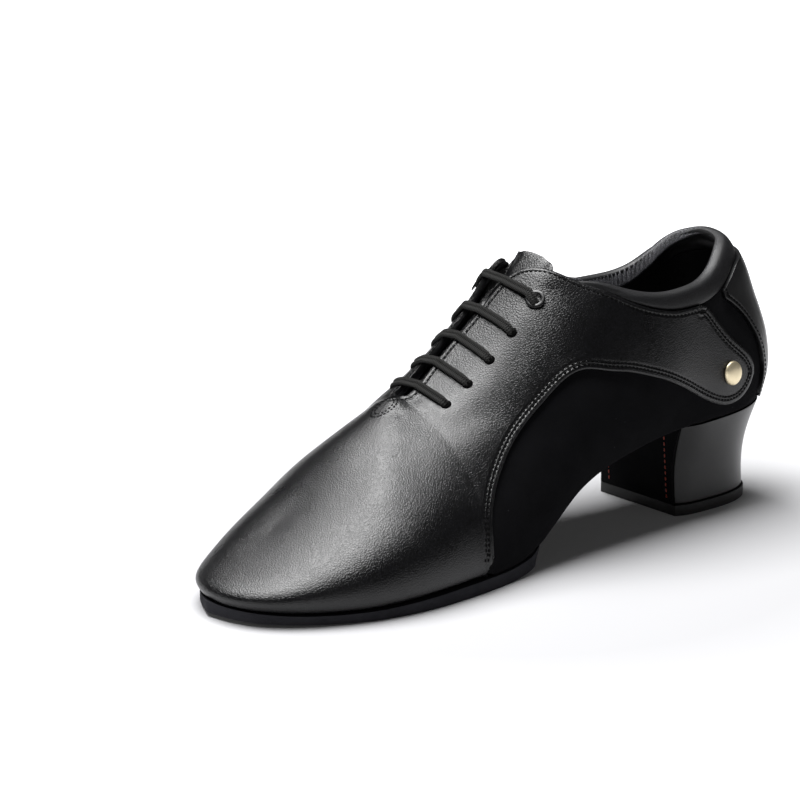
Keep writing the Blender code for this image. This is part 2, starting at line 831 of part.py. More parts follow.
def build_rivet():
    radius = rivet_diameter / 2
    cap = [(0, 1), (0.45, 0.94), (0.80, 0.72), (0.97, 0.38), (1.0, 0.12), (0.97, 0), (0, 0)]
    mesh = bpy.data.meshes.new("rivet")
    points = [(radius * r, 0, rivet_height * h) for r, h in cap]
    mesh.from_pydata(points, [(i, i + 1) for i in range(len(cap) - 1)], [])
    mesh.materials.append(gold)
    made = bpy.data.objects.new("rivet", mesh)
    shoe.objects.link(made)
    turn = made.modifiers.new("Turn", "SCREW")
    turn.steps = 20
    turn.render_steps = 20
    turn.use_merge_vertices = True
    turn.merge_threshold = 0.00001
    place = offset_point(rivet_share, rivet_level, leather_gap + leather_thickness + clearance)
    made.matrix_world = facing_out(place, upper_normal(rivet_share, rivet_level))
    return made


build_upper()
build_front()
build_counter()
build_collar()
build_sole()
build_insole()
build_heel()
build_breast()
build_lift()
build_tongue()
for row in range(lace_rows):
    build_lace_bar(row)
build_eyelet("eyelet_outer", row_share(lace_rows - 1))
build_eyelet("eyelet_inner", -row_share(lace_rows - 1))
build_rivet()

# The origin is at the middle of the shoe's box, on the floor
bpy.context.view_layer.update()
graph = bpy.context.evaluated_depsgraph_get()
corners = []
for piece in shoe.objects:
    shaped = piece.evaluated_get(graph)
    corners += [shaped.matrix_world @ Vector(corner) for corner in shaped.bound_box]
low = [min(corner[k] for corner in corners) for k in range(2)]
high = [max(corner[k] for corner in corners) for k in range(2)]
for piece in shoe.objects:
    piece.location.x -= (low[0] + high[0]) / 2
    piece.location.y -= (low[1] + high[1]) / 2
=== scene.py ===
import json
import math
import bpy
import numpy as np
from mathutils import Matrix, Vector
from mathutils.bvhtree import BVHTree
from mathutils.kdtree import KDTree

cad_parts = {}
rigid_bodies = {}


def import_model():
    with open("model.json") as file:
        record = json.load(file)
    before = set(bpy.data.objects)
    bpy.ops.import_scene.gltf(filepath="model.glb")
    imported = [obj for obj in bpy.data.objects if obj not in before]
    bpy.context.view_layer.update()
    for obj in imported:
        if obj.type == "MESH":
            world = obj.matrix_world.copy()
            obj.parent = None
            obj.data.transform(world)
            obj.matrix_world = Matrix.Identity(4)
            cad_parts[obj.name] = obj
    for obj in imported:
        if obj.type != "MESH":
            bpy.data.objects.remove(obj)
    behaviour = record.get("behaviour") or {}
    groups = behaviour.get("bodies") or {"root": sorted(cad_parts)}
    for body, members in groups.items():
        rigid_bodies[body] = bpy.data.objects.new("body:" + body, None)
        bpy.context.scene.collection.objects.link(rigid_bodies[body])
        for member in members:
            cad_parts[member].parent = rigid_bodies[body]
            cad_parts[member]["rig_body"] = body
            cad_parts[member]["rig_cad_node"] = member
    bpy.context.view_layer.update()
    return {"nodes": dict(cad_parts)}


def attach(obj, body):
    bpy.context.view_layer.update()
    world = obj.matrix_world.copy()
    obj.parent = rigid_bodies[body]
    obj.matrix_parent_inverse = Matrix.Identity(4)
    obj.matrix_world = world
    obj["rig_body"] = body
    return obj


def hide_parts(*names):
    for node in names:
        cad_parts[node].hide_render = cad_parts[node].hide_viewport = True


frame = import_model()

mm = 0.001
nodes = frame["nodes"]
dice = np.random.default_rng(11)

# camera, as the photograph was taken

cameraSettings = {
    "turn": 51.44,  # degrees round the shoe from its toe
    "tilt": 15.18,
    "distance": 1100 * mm,
    "lens": 126.08,  # on a 36 mm sensor
    "aim": (-1.18 * mm, -1.74 * mm, 50 * mm),
    "aside": -34.44 * mm,
    "above": 8.10 * mm,
}


def addCamera(s):
    turn, tilt = math.radians(s["turn"]), math.radians(s["tilt"])
    right = Vector((math.cos(turn), math.sin(turn), 0))
    forward = Vector((-math.sin(turn) * math.cos(tilt), math.cos(turn) * math.cos(tilt), -math.sin(tilt)))
    up = right.cross(forward)
    target = Vector(s["aim"]) + right * s["aside"] + up * s["above"]
    facing = Matrix((right, up, -forward)).transposed().to_euler()
    bpy.ops.object.camera_add(location=target - forward * s["distance"], rotation=facing)
    camera = bpy.context.object
    camera.data.lens = s["lens"]
    camera.data.clip_start = 0.01
    bpy.context.scene.camera = camera


addCamera(cameraSettings)
print("camera set")

# materials

finishes = {}


def linear(hexColour):
    channels = [int(hexColour[i:i + 2], 16) / 255 for i in (1, 3, 5)]
    return tuple(c / 12.92 if c <= 0.04045 else ((c + 0.055) / 1.055) ** 2.4 for c in channels) + (1.0,)


def addNode(finish, kind, settings=None, links=None):
    node = finish.node_tree.nodes.new(kind)
    for key, value in (settings or {}).items():
        if isinstance(key, str) and hasattr(node, key):
            setattr(node, key, value)
        else:
            node.inputs[key].default_value = value
    for key, source in (links or {}).items():
        finish.node_tree.links.new(source, node.inputs[key])
    return node


def newFinish(name, hexColour, roughness, **settings):
    finish = bpy.data.materials.new(name)
    finish.use_nodes = True
    shader = finish.node_tree.nodes["Principled BSDF"]
    shader.inputs["Base Color"].default_value = linear(hexColour)
    shader.inputs["Roughness"].default_value = roughness
    for key, value in settings.items():
        shader.inputs[key.replace("_", " ")].default_value = value
    finish.diffuse_color = linear(hexColour)
    finishes[name] = finish
    return finish, shader


def addBump(finish, shader, height, depth, strength=1.0):
    # each bump sits on the one added before it
    socket = shader.inputs["Normal"]
    links = {"Height": height}
    if socket.is_linked:
        links["Normal"] = socket.links[0].from_socket
    bump = addNode(finish, "ShaderNodeBump", {"Strength": strength, "Distance": depth}, links)
    finish.node_tree.links.new(bump.outputs["Normal"], socket)


def addRamp(finish, source, stops):
    ramp = addNode(finish, "ShaderNodeValToRGB", links={"Fac": source})
    elements = ramp.color_ramp.elements
    while len(elements) < len(stops):
        elements.new(0.5)
    for element, (place, colour) in zip(elements, stops):
        element.position = place
        element.color = colour if isinstance(colour, tuple) else (colour, colour, colour, 1)
    return ramp.outputs["Color"]


def objectPlace(finish):
    return addNode(finish, "ShaderNodeTexCoord").outputs["Object"]


def makeLeather(name, hexColour, roughness, pebble, depth, sheenSpread=0.05, coat=0.0):
    # drum-dyed black calf, plated and lightly polished: fine pebbles break its broad soft shine into specks
    finish, shader = newFinish(name, hexColour, roughness, IOR=1.5, Coat_Weight=coat, Coat_Roughness=0.3)
    place = objectPlace(finish)
    cells = addNode(finish, "ShaderNodeTexVoronoi", {"feature": "DISTANCE_TO_EDGE", "Scale": 1 / pebble}, {"Vector": place})
    rounded = addRamp(finish, cells.outputs["Distance"], [(0.0, 0.0), (0.25, 1.0)])
    fine = addNode(finish, "ShaderNodeTexNoise", {"Scale": 2.2 / pebble, "Detail": 2.0, "Roughness": 0.6}, {"Vector": place})
    slow = addNode(finish, "ShaderNodeTexNoise", {"Scale": 1 / (16 * mm), "Detail": 1.0}, {"Vector": place})
    grain = addNode(finish, "ShaderNodeMath", {"operation": "MULTIPLY_ADD", 1: 1.6}, {0: fine.outputs["Fac"], 2: rounded})
    # painted shade: the base colour darkens from each pebble's top into the valleys between the pebbles
    shade = addRamp(finish, rounded, [(0.0, linear("#020202")), (1.0, linear(hexColour))])
    finish.node_tree.links.new(shade, shader.inputs["Base Color"])
    addBump(finish, shader, slow.outputs["Fac"], 0.3 * mm, 0.5)
    addBump(finish, shader, grain.outputs["Value"], depth)
    spread = addNode(finish, "ShaderNodeMapRange", {"To Min": roughness - sheenSpread, "To Max": roughness + sheenSpread},
                     {"Value": slow.outputs["Fac"]})
    finish.node_tree.links.new(spread.outputs["Result"], shader.inputs["Roughness"])
    return finish, shader


def makeSuede(name, hexColour, nap=0.35 * mm):
    # brushed split leather: the nap swallows the light, and lint sits on it in a few pale specks
    finish, shader = newFinish(name, hexColour, 0.96, IOR=1.4, Sheen_Weight=0.012, Sheen_Roughness=0.6,
                               Specular_IOR_Level=0.04)
    place = objectPlace(finish)
    fibres = addNode(finish, "ShaderNodeTexNoise", {"Scale": 1 / nap, "Detail": 4.0, "Roughness": 0.7}, {"Vector": place})
    brushed = addNode(finish, "ShaderNodeTexNoise", {"Scale": 1 / (9 * mm), "Detail": 2.0}, {"Vector": place})
    lint = addNode(finish, "ShaderNodeTexVoronoi", {"Scale": 1 / (8 * mm), "Randomness": 1.0}, {"Vector": place})
    specks = addRamp(finish, lint.outputs["Distance"], [(0.0, linear("#343436")), (0.03, linear("#343436")),
                                                       (0.045, linear(hexColour))])
    shade = addRamp(finish, brushed.outputs["Fac"], [(0.3, 0.75), (0.7, 1.0)])
    mixed = addNode(finish, "ShaderNodeMix", {"data_type": "RGBA", "blend_type": "MULTIPLY", 0: 1.0},
                    {6: specks, 7: shade})
    finish.node_tree.links.new(mixed.outputs[2], shader.inputs["Base Color"])
    addBump(finish, shader, fibres.outputs["Fac"], 0.12 * mm)
    return finish, shader


calf, calfShader = makeLeather("grainedCalfLeather", "#0e0e11", 0.3, 0.95 * mm, 0.055 * mm)
smoothCalf, smoothShader = makeLeather("smoothCalfLeather", "#0a0a0c", 0.33, 0.6 * mm, 0.012 * mm)
suede, suedeShader = makeSuede("blackSuede", "#121214")


def addSeam(finish, shader, attribute, heights, depth):
    # a turned edge stands up as a bead, and each row of stitches draws a channel; heights by mm from the edge
    away = addNode(finish, "ShaderNodeAttribute", {"attribute_name": attribute})
    share = addNode(finish, "ShaderNodeMath", {"operation": "MULTIPLY", 1: 0.125}, {0: away.outputs["Fac"]})
    profile = addRamp(finish, share.outputs["Value"], [(place / 8, height) for place, height in heights])
    profile.node.color_ramp.interpolation = "EASE"
    addBump(finish, shader, profile, depth)


addSeam(calf, calfShader, "foldDistance", ((0, 0.1), (0.7, 1), (1.3, 0.9), (2.0, 0.15), (2.7, 0.75), (3.4, 0.2), (4.6, 0.7)),
        0.35 * mm)
addSeam(calf, calfShader, "edgeDistance", ((0, 0.2), (0.7, 0.9), (1.2, 0.9), (1.9, 0.1), (2.8, 0.8)), 0.3 * mm)
addSeam(smoothCalf, smoothShader, "edgeDistance", ((0, 0.2), (0.7, 0.9), (1.1, 0.8), (1.7, 0.1), (2.6, 0.8)), 0.25 * mm)
softLining, liningShader = makeLeather("softLiningLeather", "#1b1b1e", 0.5, 0.7 * mm, 0.03 * mm)
# painted light: the lining leather made much paler than the soft lining, so that the gathered strip looks lit
gatheredLiningPaintedLit, paintedLitLiningShader = makeLeather("gatheredLiningLeather", "#59595e", 0.4, 0.7 * mm, 0.05 * mm)
soleSplit, soleShader = makeSuede("soleSplitLeather", "#37373b", 0.6 * mm)
liftRubber, rubberShader = newFinish("mouldedLiftRubber", "#161617", 0.55, IOR=1.5)
lifted = addNode(liftRubber, "ShaderNodeTexNoise", {"Scale": 1 / (0.8 * mm), "Detail": 3.0}, {"Vector": objectPlace(liftRubber)})
addBump(liftRubber, rubberShader, lifted.outputs["Fac"], 0.05 * mm)


def makeLaceCotton():
    # flat braided cotton, waxed: two ribs, each with slanting ticks, and hardly any shine
    finish, shader = newFinish("braidedLaceCotton", "#0d0d0c", 0.7, IOR=1.45, Specular_IOR_Level=0.35)
    along = addNode(finish, "ShaderNodeUVMap", {"uv_map": "braid"}).outputs["UV"]
    apart = addNode(finish, "ShaderNodeSeparateXYZ", links={"Vector": along})
    slant = addNode(finish, "ShaderNodeMath", {"operation": "PINGPONG", 1: 0.5}, {0: apart.outputs["X"]})
    ticks = addNode(finish, "ShaderNodeMath", {"operation": "ADD"}, {0: slant.outputs["Value"], 1: apart.outputs["Y"]})
    turned = addNode(finish, "ShaderNodeMath", {"operation": "MULTIPLY", 1: 2 * math.pi}, {0: ticks.outputs["Value"]})
    wave = addNode(finish, "ShaderNodeMath", {"operation": "SINE"}, {0: turned.outputs["Value"]})
    half = addNode(finish, "ShaderNodeMath", {"operation": "MULTIPLY_ADD", 1: 0.5, 2: 0.5}, {0: wave.outputs["Value"]})
    # painted shade and highlight: the base colour follows the braid's bump, dark in its grooves and lighter on its
    # ticks
    paintedGrooveShade = addRamp(finish, half.outputs["Value"], [(0.2, linear("#030303")), (0.8, linear("#262624"))])
    finish.node_tree.links.new(paintedGrooveShade, shader.inputs["Base Color"])
    addBump(finish, shader, wave.outputs["Value"], 0.25 * mm)
    return finish


laceCotton = makeLaceCotton()
threadCotton, threadShader = newFinish("waxedBlackThread", "#060607", 0.85, IOR=1.45, Specular_IOR_Level=0.15)
rustThread, rustShader = newFinish("rustRedThread", "#8a2f1c", 0.6, IOR=1.5)
blackEnamel, enamelShader = newFinish("enamelledBlackMetal", "#050506", 0.3, IOR=1.5, Coat_Weight=0.1, Coat_Roughness=0.15)
# painted shade: a near-black matte finish for the discs that fill the holes in place of their shade
holeShadeDisc, holeShadeShader = newFinish("paintedHoleShade", "#030303", 0.95, Specular_IOR_Level=0.05)
paleGold, goldShader = newFinish("polishedPaleGold", "#fff0cc", 0.4, Metallic=0.85)
goldWear = addNode(paleGold, "ShaderNodeTexNoise", {"Scale": 1 / (1.5 * mm), "Detail": 3.0}, {"Vector": objectPlace(paleGold)})
addBump(paleGold, goldShader, goldWear.outputs["Fac"], 0.02 * mm)
print("materials made")

# working on a piece


def only(piece):
    bpy.ops.object.select_all(action="DESELECT")
    piece.select_set(True)
    bpy.context.view_layer.objects.active = piece


def applyModifier(piece, kind, **settings):
    only(piece)
    modifier = piece.modifiers.new(kind.title(), kind)
    for key, value in settings.items():
        setattr(modifier, key, value)
    bpy.ops.object.modifier_apply(modifier=modifier.name)


def copyNode(nodeName, pieceName):
    piece = nodes[nodeName].copy()
    piece.data = piece.data.copy()
    piece.name = piece.data.name = pieceName
    piece.parent = None
    del piece["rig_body"], piece["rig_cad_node"]
    bpy.context.scene.collection.objects.link(piece)
    only(piece)
    bpy.ops.mesh.customdata_custom_splitnormals_clear()
    bpy.ops.object.mode_set(mode="EDIT")
    bpy.ops.mesh.select_all(action="SELECT")
    bpy.ops.mesh.remove_doubles(threshold=0.01 * mm)
    bpy.ops.mesh.tris_convert_to_quads(face_threshold=math.radians(50), shape_threshold=math.radians(60))
    bpy.ops.object.mode_set(mode="OBJECT")
    piece.data.materials.clear()
    return piece


def readPoints(piece):
    points = np.empty(len(piece.data.vertices) * 3, np.float32)
    piece.data.vertices.foreach_get("co", points)
    return points.reshape(-1, 3).astype(float)


def writePoints(piece, points):
    piece.data.vertices.foreach_set("co", points.astype(np.float32).ravel())
    piece.data.update()


def readNormals(piece):
    normals = np.empty(len(piece.data.vertices) * 3, np.float32)
    piece.data.vertex_normals.foreach_get("vector", normals)
    return normals.reshape(-1, 3).astype(float)


def creaseSharp(piece, angle, amount):
    only(piece)
    bpy.ops.object.mode_set(mode="EDIT")
    bpy.ops.mesh.select_mode(type="EDGE")
    bpy.ops.mesh.select_all(action="DESELECT")
    bpy.ops.mesh.edges_select_sharp(sharpness=math.radians(angle))
    bpy.ops.transform.edge_crease(value=amount)
    bpy.ops.object.mode_set(mode="OBJECT")


def faceSkin(nodeName, pieceName, towards, box=None):
    # the sheet of faces round the one that lies furthest towards a direction, with the ones in a box that it misses
    piece = copyNode(nodeName, pieceName)
    aim = np.array(towards, float)
    seed = max(piece.data.polygons, key=lambda f: np.dot(f.center, aim) if np.dot(f.normal, aim) > 0.4 else -1).index
    bpy.ops.object.mode_set(mode="EDIT")
    bpy.ops.mesh.select_mode(type="FACE")
    bpy.ops.mesh.select_all(action="DESELECT")
    bpy.ops.object.mode_set(mode="OBJECT")
    piece.data.polygons[seed].select = True
    bpy.ops.object.mode_set(mode="EDIT")
    bpy.ops.mesh.faces_select_linked_flat(sharpness=math.radians(48))
    if box:
        bpy.ops.object.mode_set(mode="OBJECT")
        low, high = np.array(box) * mm
        for face in piece.data.polygons:
            middle = np.array(face.center)
            if (low < middle).all() and (middle < high).all() and face.normal.x > 0.1 and face.normal.y < 0.75:
                face.select = True
        bpy.ops.object.mode_set(mode="EDIT")
    bpy.ops.mesh.select_all(action="INVERT")
    bpy.ops.mesh.delete(type="FACE")
    bpy.ops.object.mode_set(mode="OBJECT")
    return piece


def finishPiece(piece, finish, slotName, *replaced):
    piece.data.materials.append(finish)
    only(piece)
    bpy.ops.object.shade_smooth()
    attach(piece, "root")
    if replaced:
        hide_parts(*replaced)


def openEdge(piece):
    # indices in order round the sheet's longest open edge
    counts = {}
    for face in piece.data.polygons:
        for key in face.edge_keys:
            counts[key] = counts.get(key, 0) + 1
    beside = {}
    for (a, b), count in counts.items():
        if count == 1:
            beside.setdefault(a, []).append(b)
            beside.setdefault(b, []).append(a)
    loops = []
    unseen = set(beside)
    while unseen:
        here = min(unseen)
        loop = []
        while here is not None:
            loop.append(here)
            unseen.discard(here)
            here = next((n for n in beside[here] if n in unseen), None)
        loops.append(loop)
    return max(loops, key=len)


def edgeRun(points, start, via, end):
    # the stretch of a closed line of points from start to end that passes via
    near = [int(np.argmin(np.linalg.norm(points - np.array(p) * mm, axis=1))) for p in (start, via, end)]
    count = len(points)
    middle, last = (near[1] - near[0]) % count, (near[2] - near[0]) % count
    order = np.roll(points, -near[0], axis=0)
    if middle > last:
        order = np.roll(order[::-1], 1, axis=0)
        last = count - last
    return order[:last + 1]


def evenly(points, pitch):
    steps = np.r_[0, np.cumsum(np.linalg.norm(np.diff(points, axis=0), axis=1))]
    places = np.linspace(0, steps[-1], max(2, round(steps[-1] / pitch) + 1))
    return np.stack([np.interp(places, steps, points[:, k]) for k in range(3)], 1)


def distanceTo(points, line):
    dense = evenly(line, 0.5 * mm)
    tree = KDTree(len(dense))
    for i, point in enumerate(dense):
        tree.insert(point, i)
    tree.balance()
    return np.array([tree.find(p)[2] for p in points])


def surfaceOf(*pieces):
    points, faces = [], []
    for piece in pieces:
        start = len(points)
        points += [v.co.copy() for v in piece.data.vertices]
        faces += [[start + i for i in f.vertices] for f in piece.data.polygons]
    return BVHTree.FromPolygons(points, faces)


def storeValue(piece, name, values):
    attribute = piece.data.attributes.new(name, "FLOAT", "POINT")
    attribute.data.foreach_set("value", values.astype(np.float32))


# the instep leans inwards round the throat: all layers are moved alike, so that they stay apart

leanSettings = {
    # place along the shoe, then how far its middle goes inwards, back and down, in mm
    "along": ((-56, 0, 0, 0), (-46, 2, 0, 1.5), (-36, 6, 0, 3.5), (-25, 9, 0, 4.5), (-15, 10, 0, 4.5),
              (-4, 10, 1.5, 4), (8.6, 12, 5, 2), (20, 8, 4, 0.5), (30, 0, 0, 0)),
    # place across the shoe, with the share of the move
    "moved": ((-34, 0), (-22, 0.1), (-12, 0.42), (0, 1), (12, 0.12), (24, 0)),
    "lowered": ((-28, 0), (-21, 0.35), (-13, 1), (-4, 1), (4, 0.75), (11, 0.3), (16, 0.1), (24, 0)),
    # the toe is a low wedge: place along the shoe, with the height kept above the feather line
    "toe": ((-150, 0.34), (-142, 0.34), (-138, 0.36), (-131, 0.41), (-125, 0.46), (-116, 0.58), (-106.6, 0.73),
            (-98, 0.85), (-88, 0.97), (-80, 1.04), (-73, 1.08), (-60, 1.08), (-50, 1.07), (-40, 1.02), (-30, 1)),
    "spring": (-45, 85, 2.6),  # where the toe begins to lie lower, over how far, and by what
    "feather": 10.5,
    "toeSide": (-96, 20, 2.6),  # where the toe's inner corner begins, over how far, and what it gives up
    # the back leans forwards: height, with the move
    "raised": (98, 35, 4.4),  # where the top line begins to rise, over how far, and by what
    "innerTop": ((20, 0), (28, 4.2), (45, 3.2), (60, 2.6), (70, 4.2), (80, 4.4), (105, 4.8), (113, 5), (120, 2.5), (128, 0)),  # what the inner side's top line gives up
    "back": ((40, 0), (60, 1.4), (72, 2.6), (85, 4.8), (93, 6.8), (101, 9.2), (112, 10.6)),
}


def smoothTable(rows, column, reach=4):
    places = np.arange(-90, 91, 1.0)
    values = np.interp(places, [r[0] for r in rows], [r[column] for r in rows])
    window = np.hanning(2 * reach + 1)
    return places, np.convolve(np.pad(values, reach, "edge"), window / window.sum(), "valid")


leanAlong = [smoothTable(leanSettings["along"], k) for k in (1, 2, 3)]
leanMoved = smoothTable(leanSettings["moved"], 1, 2)
leanLowered = smoothTable(leanSettings["lowered"], 1, 2)


def smoothShare(values):
    values = np.clip(values, 0, 1)
    return values * values * (3 - 2 * values)


def lean(points):
    x, y, z = points.T / mm
    share = smoothShare((z - 40 - np.maximum(y + 40, 0) * 0.5) / 10)
    aside, back, down = (np.interp(y, *table) * share for table in leanAlong)
    moved, lowered = np.interp(x, *leanMoved), np.interp(x, *leanLowered)
    moves = np.stack([-aside * moved, back * moved, -down * lowered], 1)
    kept = np.interp(y, *zip(*leanSettings["toe"]))
    moves[:, 2] -= np.maximum(z - leanSettings["feather"], 0) * (1 - kept)
    start, over, give = leanSettings["toeSide"]
    corner = smoothShare((start - (0.623 * x + 0.782 * y)) / over) * give
    moves[:, 0] += corner * 0.623
    moves[:, 1] += corner * 0.782
    moves[:, 1] -= np.interp(z, *zip(*leanSettings["back"])) * smoothShare((y - 55) / 75)
    start, over, rise = leanSettings["raised"]
    moves[:, 2] += smoothShare((y - start) / over) * smoothShare((z - 84) / 14) * rise
    moves[:, 2] -= np.interp(y, *zip(*leanSettings["innerTop"])) * smoothShare(-x / 12) * smoothShare((z - 75) / 20)
    moved = points + moves * mm
    start, over, drop = leanSettings["spring"]
    lower = smoothShare((start - y) / over) * drop * mm
    moved[:, 2] = np.maximum(moved[:, 2] - lower, 0.5 * moved[:, 2])
    return moved


# the suede body

bodySettings = {"levels": 2, "creaseAngle": 50, "crease": 0.55}


def makeSuedeBody(s):
    piece = copyNode("upper", "suedeBody")
    creaseSharp(piece, s["creaseAngle"], s["crease"])
    applyModifier(piece, "SUBSURF", levels=s["levels"], render_levels=s["levels"])
    writePoints(piece, lean(readPoints(piece)))
    finishPiece(piece, suede, "suede", "upper")
    piece.data.materials.append(softLining)
    # faces that look at the inside are lined
    for face in piece.data.polygons:
        x, y, z = face.center
        spine = Vector((-2 * mm if y < 0 else 0, min(max(y, -100 * mm), 110 * mm), 45 * mm if y > -20 * mm else 22 * mm))
        if face.normal.dot(spine - face.center) > 0:
            face.material_index = 1
    return piece


suedeBody = makeSuedeBody(bodySettings)
print("suede body made")

# the front leather, with its folded edges and stitching

frontSettings = {
    "thickness": 1.8 * mm,
    "round": 0.45 * mm,
    "tuck": 4 * mm,
    "tuckDrop": 1.4 * mm,
    "stitchRows": (2.0, 3.4),
    "smoothing": 50,
    "missed": ((35, -42.5, 13), (49, -37, 41)),
    "seamBand": (-46, -33),
    "seamPasses": 10,
    "slotFoot": -37.5,
    "slotHalf": ((-46, 0), (-44.5, 0.6), (-42, 2.2), (-38, 3.0), (-34, 3.2)),
    "slotMiddle": ((-46, -8.6), (-42, -9.6), (-38, -10.6), (-34, -11.4)),
    "facingRow": 1.9,
    "collarRow": 1.9,
    "stitchPitch": 2.0 * mm,
}
# landmarks on its edge, in mm: curve's foot, its bend, strap tip, strap top, collar's start, facing top, throat
edgePlaces = {
    "outer": {"foot": (47, -40.7, 7.4), "bend": (32.2, -16.8, 52.6), "tip": (31.1, 114.1, 58.8),
              "end": (30.3, 103, 76), "strapTop": (30, 87, 89.8),
              "collar": (17.7, 28.5, 104.2), "facing": (3.3, 8.6, 109.2), "side": (0.1, -16, 83.6)},
    "inner": {"foot": (-49, -40.7, 7.1), "bend": (-38.5, -16.5, 52.1), "tip": (-33.2, 114.1, 58.8),
              "end": (-32.5, 103, 76), "strapTop": (-32.3, 87.2, 89.8),
              "collar": (-21.2, 28.7, 104.2), "facing": (-10.5, 8.6, 109.2), "side": (-12, -15.9, 83.7)},
}
throatPlace = (-7.2, -44.7, 62.8)


def tuckUnder(piece, s):
    # the lasted edge turns in over the sole
    only(piece)
    points = readPoints(piece)
    edge = openEdge(piece)
    low = {i for i in edge if points[i, 1] < -39 * mm and points[i, 2] < 16 * mm}
    bpy.ops.object.mode_set(mode="EDIT")
    bpy.ops.mesh.select_mode(type="EDGE")
    bpy.ops.mesh.select_all(action="DESELECT")
    bpy.ops.object.mode_set(mode="OBJECT")
    count = {}
    for face in piece.data.polygons:
        for key in face.edge_keys:
            count[key] = count.get(key, 0) + 1
    for line in piece.data.edges:
        if count[line.key] == 1 and set(line.vertices) <= low:
            line.select = True
    bpy.ops.object.mode_set(mode="EDIT")
    bpy.ops.mesh.extrude_edges_move()
    bpy.ops.object.mode_set(mode="OBJECT")
    moved = [v.index for v in piece.data.vertices if v.select]
    points = readPoints(piece)
    for i in moved:
        spine = np.array([-2 * mm, max(points[i, 1], -100 * mm)])
        inward = spine - points[i, :2]
        points[i, :2] += inward / np.linalg.norm(inward) * s["tuck"]
        points[i, 2] -= s["tuckDrop"]
    writePoints(piece, points)


def settle(piece, edge, s):
    # small dents of the solids' facets are smoothed out, away from the edges
    points = readPoints(piece)
    away = distanceTo(points, lean(edge))
    group = piece.vertex_groups.new(name="inside")
    for i in np.flatnonzero(away > 2.5 * mm):
        group.add([int(i)], float(min((away[i] / mm - 2.5) / 5, 1)), "REPLACE")
    applyModifier(piece, "SMOOTH", factor=0.5, iterations=s["smoothing"], vertex_group="inside")


def closeThroat(points, s):
    # the slot's foot is drawn together under the tack
    x, y, z = points.T / mm
    half = np.interp(y, *zip(*s["slotHalf"]))
    middle = np.interp(y, *zip(*s["slotMiddle"]))
    off = x - middle
    share = smoothShare((s["slotFoot"] - y) / 2.5) * (z > 50)
    move = half * 0.98 * share * np.exp(-(np.maximum(np.abs(off) - half, 0) / 4.5) ** 2)
    return points - np.stack([np.sign(off) * np.minimum(move, np.abs(off) * 0.98), y * 0, y * 0], 1) * mm


creases = (
    # places seen from above in mm, reach to either side, and rise or, below 0, depth
    {"line": ((7, -46), (17, -37), (21, -25), (25, -14)), "reach": 7, "rise": -0.55},  # flex below the facing
    {"line": ((18, -58), (30, -51), (36, -44)), "reach": 9, "rise": -0.7},  # hollow above the curve's foot
    {"line": ((-14, -46), (-9, -44), (-4, -43)), "reach": 5, "rise": 1.1},  # bulge under the tack
    {"line": ((-3.5, -37), (-2, -42), (-1, -47)), "reach": 2.4, "rise": -0.8},  # fold beside it
    {"line": ((2, -52), (14, -62), (24, -74)), "reach": 8, "rise": 0.7},
)


def selectPoints(piece, indices):
    only(piece)
    bpy.ops.object.mode_set(mode="EDIT")
    bpy.ops.mesh.select_mode(type="VERT")
    bpy.ops.mesh.select_all(action="DESELECT")
    bpy.ops.object.mode_set(mode="OBJECT")
    for i in indices:
        piece.data.vertices[int(i)].select = True
    bpy.ops.object.mode_set(mode="EDIT")


def mendSeam(piece, s):
    # the gap where two of the solid's faces meet is filled, and the facets beside it are laid on one smooth form
    only(piece)
    bpy.ops.object.mode_set(mode="EDIT")
    bpy.ops.mesh.select_all(action="SELECT")
    bpy.ops.mesh.fill_holes(sides=20)
    bpy.ops.mesh.normals_make_consistent(inside=False)
    bpy.ops.object.mode_set(mode="OBJECT")
    points, rim = readPoints(piece), openEdge(piece)
    inside = np.ones(len(points), bool)
    inside[rim] = False
    low, high = s["seamBand"]
    inBand = (points[:, 1] > low * mm) & (points[:, 1] < high * mm)
    group = piece.vertex_groups.new(name="seam")
    for i in np.flatnonzero(inside & inBand):
        group.add([int(i)], 1.0, "REPLACE")
    applyModifier(piece, "SMOOTH", factor=0.5, iterations=s["seamPasses"], vertex_group="seam")
    points = readPoints(piece)
    for side in (1, -1):
        x, y, z = points.T / mm
        steep = (side * x > 30) & (z < 48) & (z > 8) & (y > -66) & (y < -16)
        known = steep & ((y < low - 1) | (y > high + 1))

        def terms(y, z):
            y, z = (y + 40) / 25, (z - 28) / 20
            return np.stack([y ** a * z ** b for a in range(4) for b in range(4) if a + b < 4], 1)

        fit = np.linalg.lstsq(terms(y[known], z[known]), x[known], rcond=None)[0]
        chosen = steep & (y > low) & (y < high)
        share = smoothShare((side * x[chosen] - 30) / 5) * smoothShare((high - y[chosen]) / 3)
        points[chosen, 0] += (terms(y[chosen], z[chosen]) @ fit - x[chosen]) * share * mm
        print("seam on side", side, "moved", chosen.sum(), "by up to", np.abs(terms(y[chosen], z[chosen]) @ fit - x[chosen]).max().round(2))
    writePoints(piece, points)


def creaseSheet(piece):
    points, normals = readPoints(piece), readNormals(piece)
    sheet = surfaceOf(piece)
    for crease in creases:
        hits = [sheet.ray_cast(Vector((x * mm, y * mm, 0.2)), Vector((0, 0, -1)))[0] for x, y in crease["line"]]
        line = evenly(np.array([h for h in hits if h]), 1 * mm)
        for _ in range(8):
            line[1:-1] = (line[:-2] + line[1:-1] + line[2:]) / 3
        away = distanceTo(points, line) / mm / crease["reach"]
        points += normals * (np.exp(-away ** 2) * crease["rise"] * mm)[:, None]
    writePoints(piece, points)


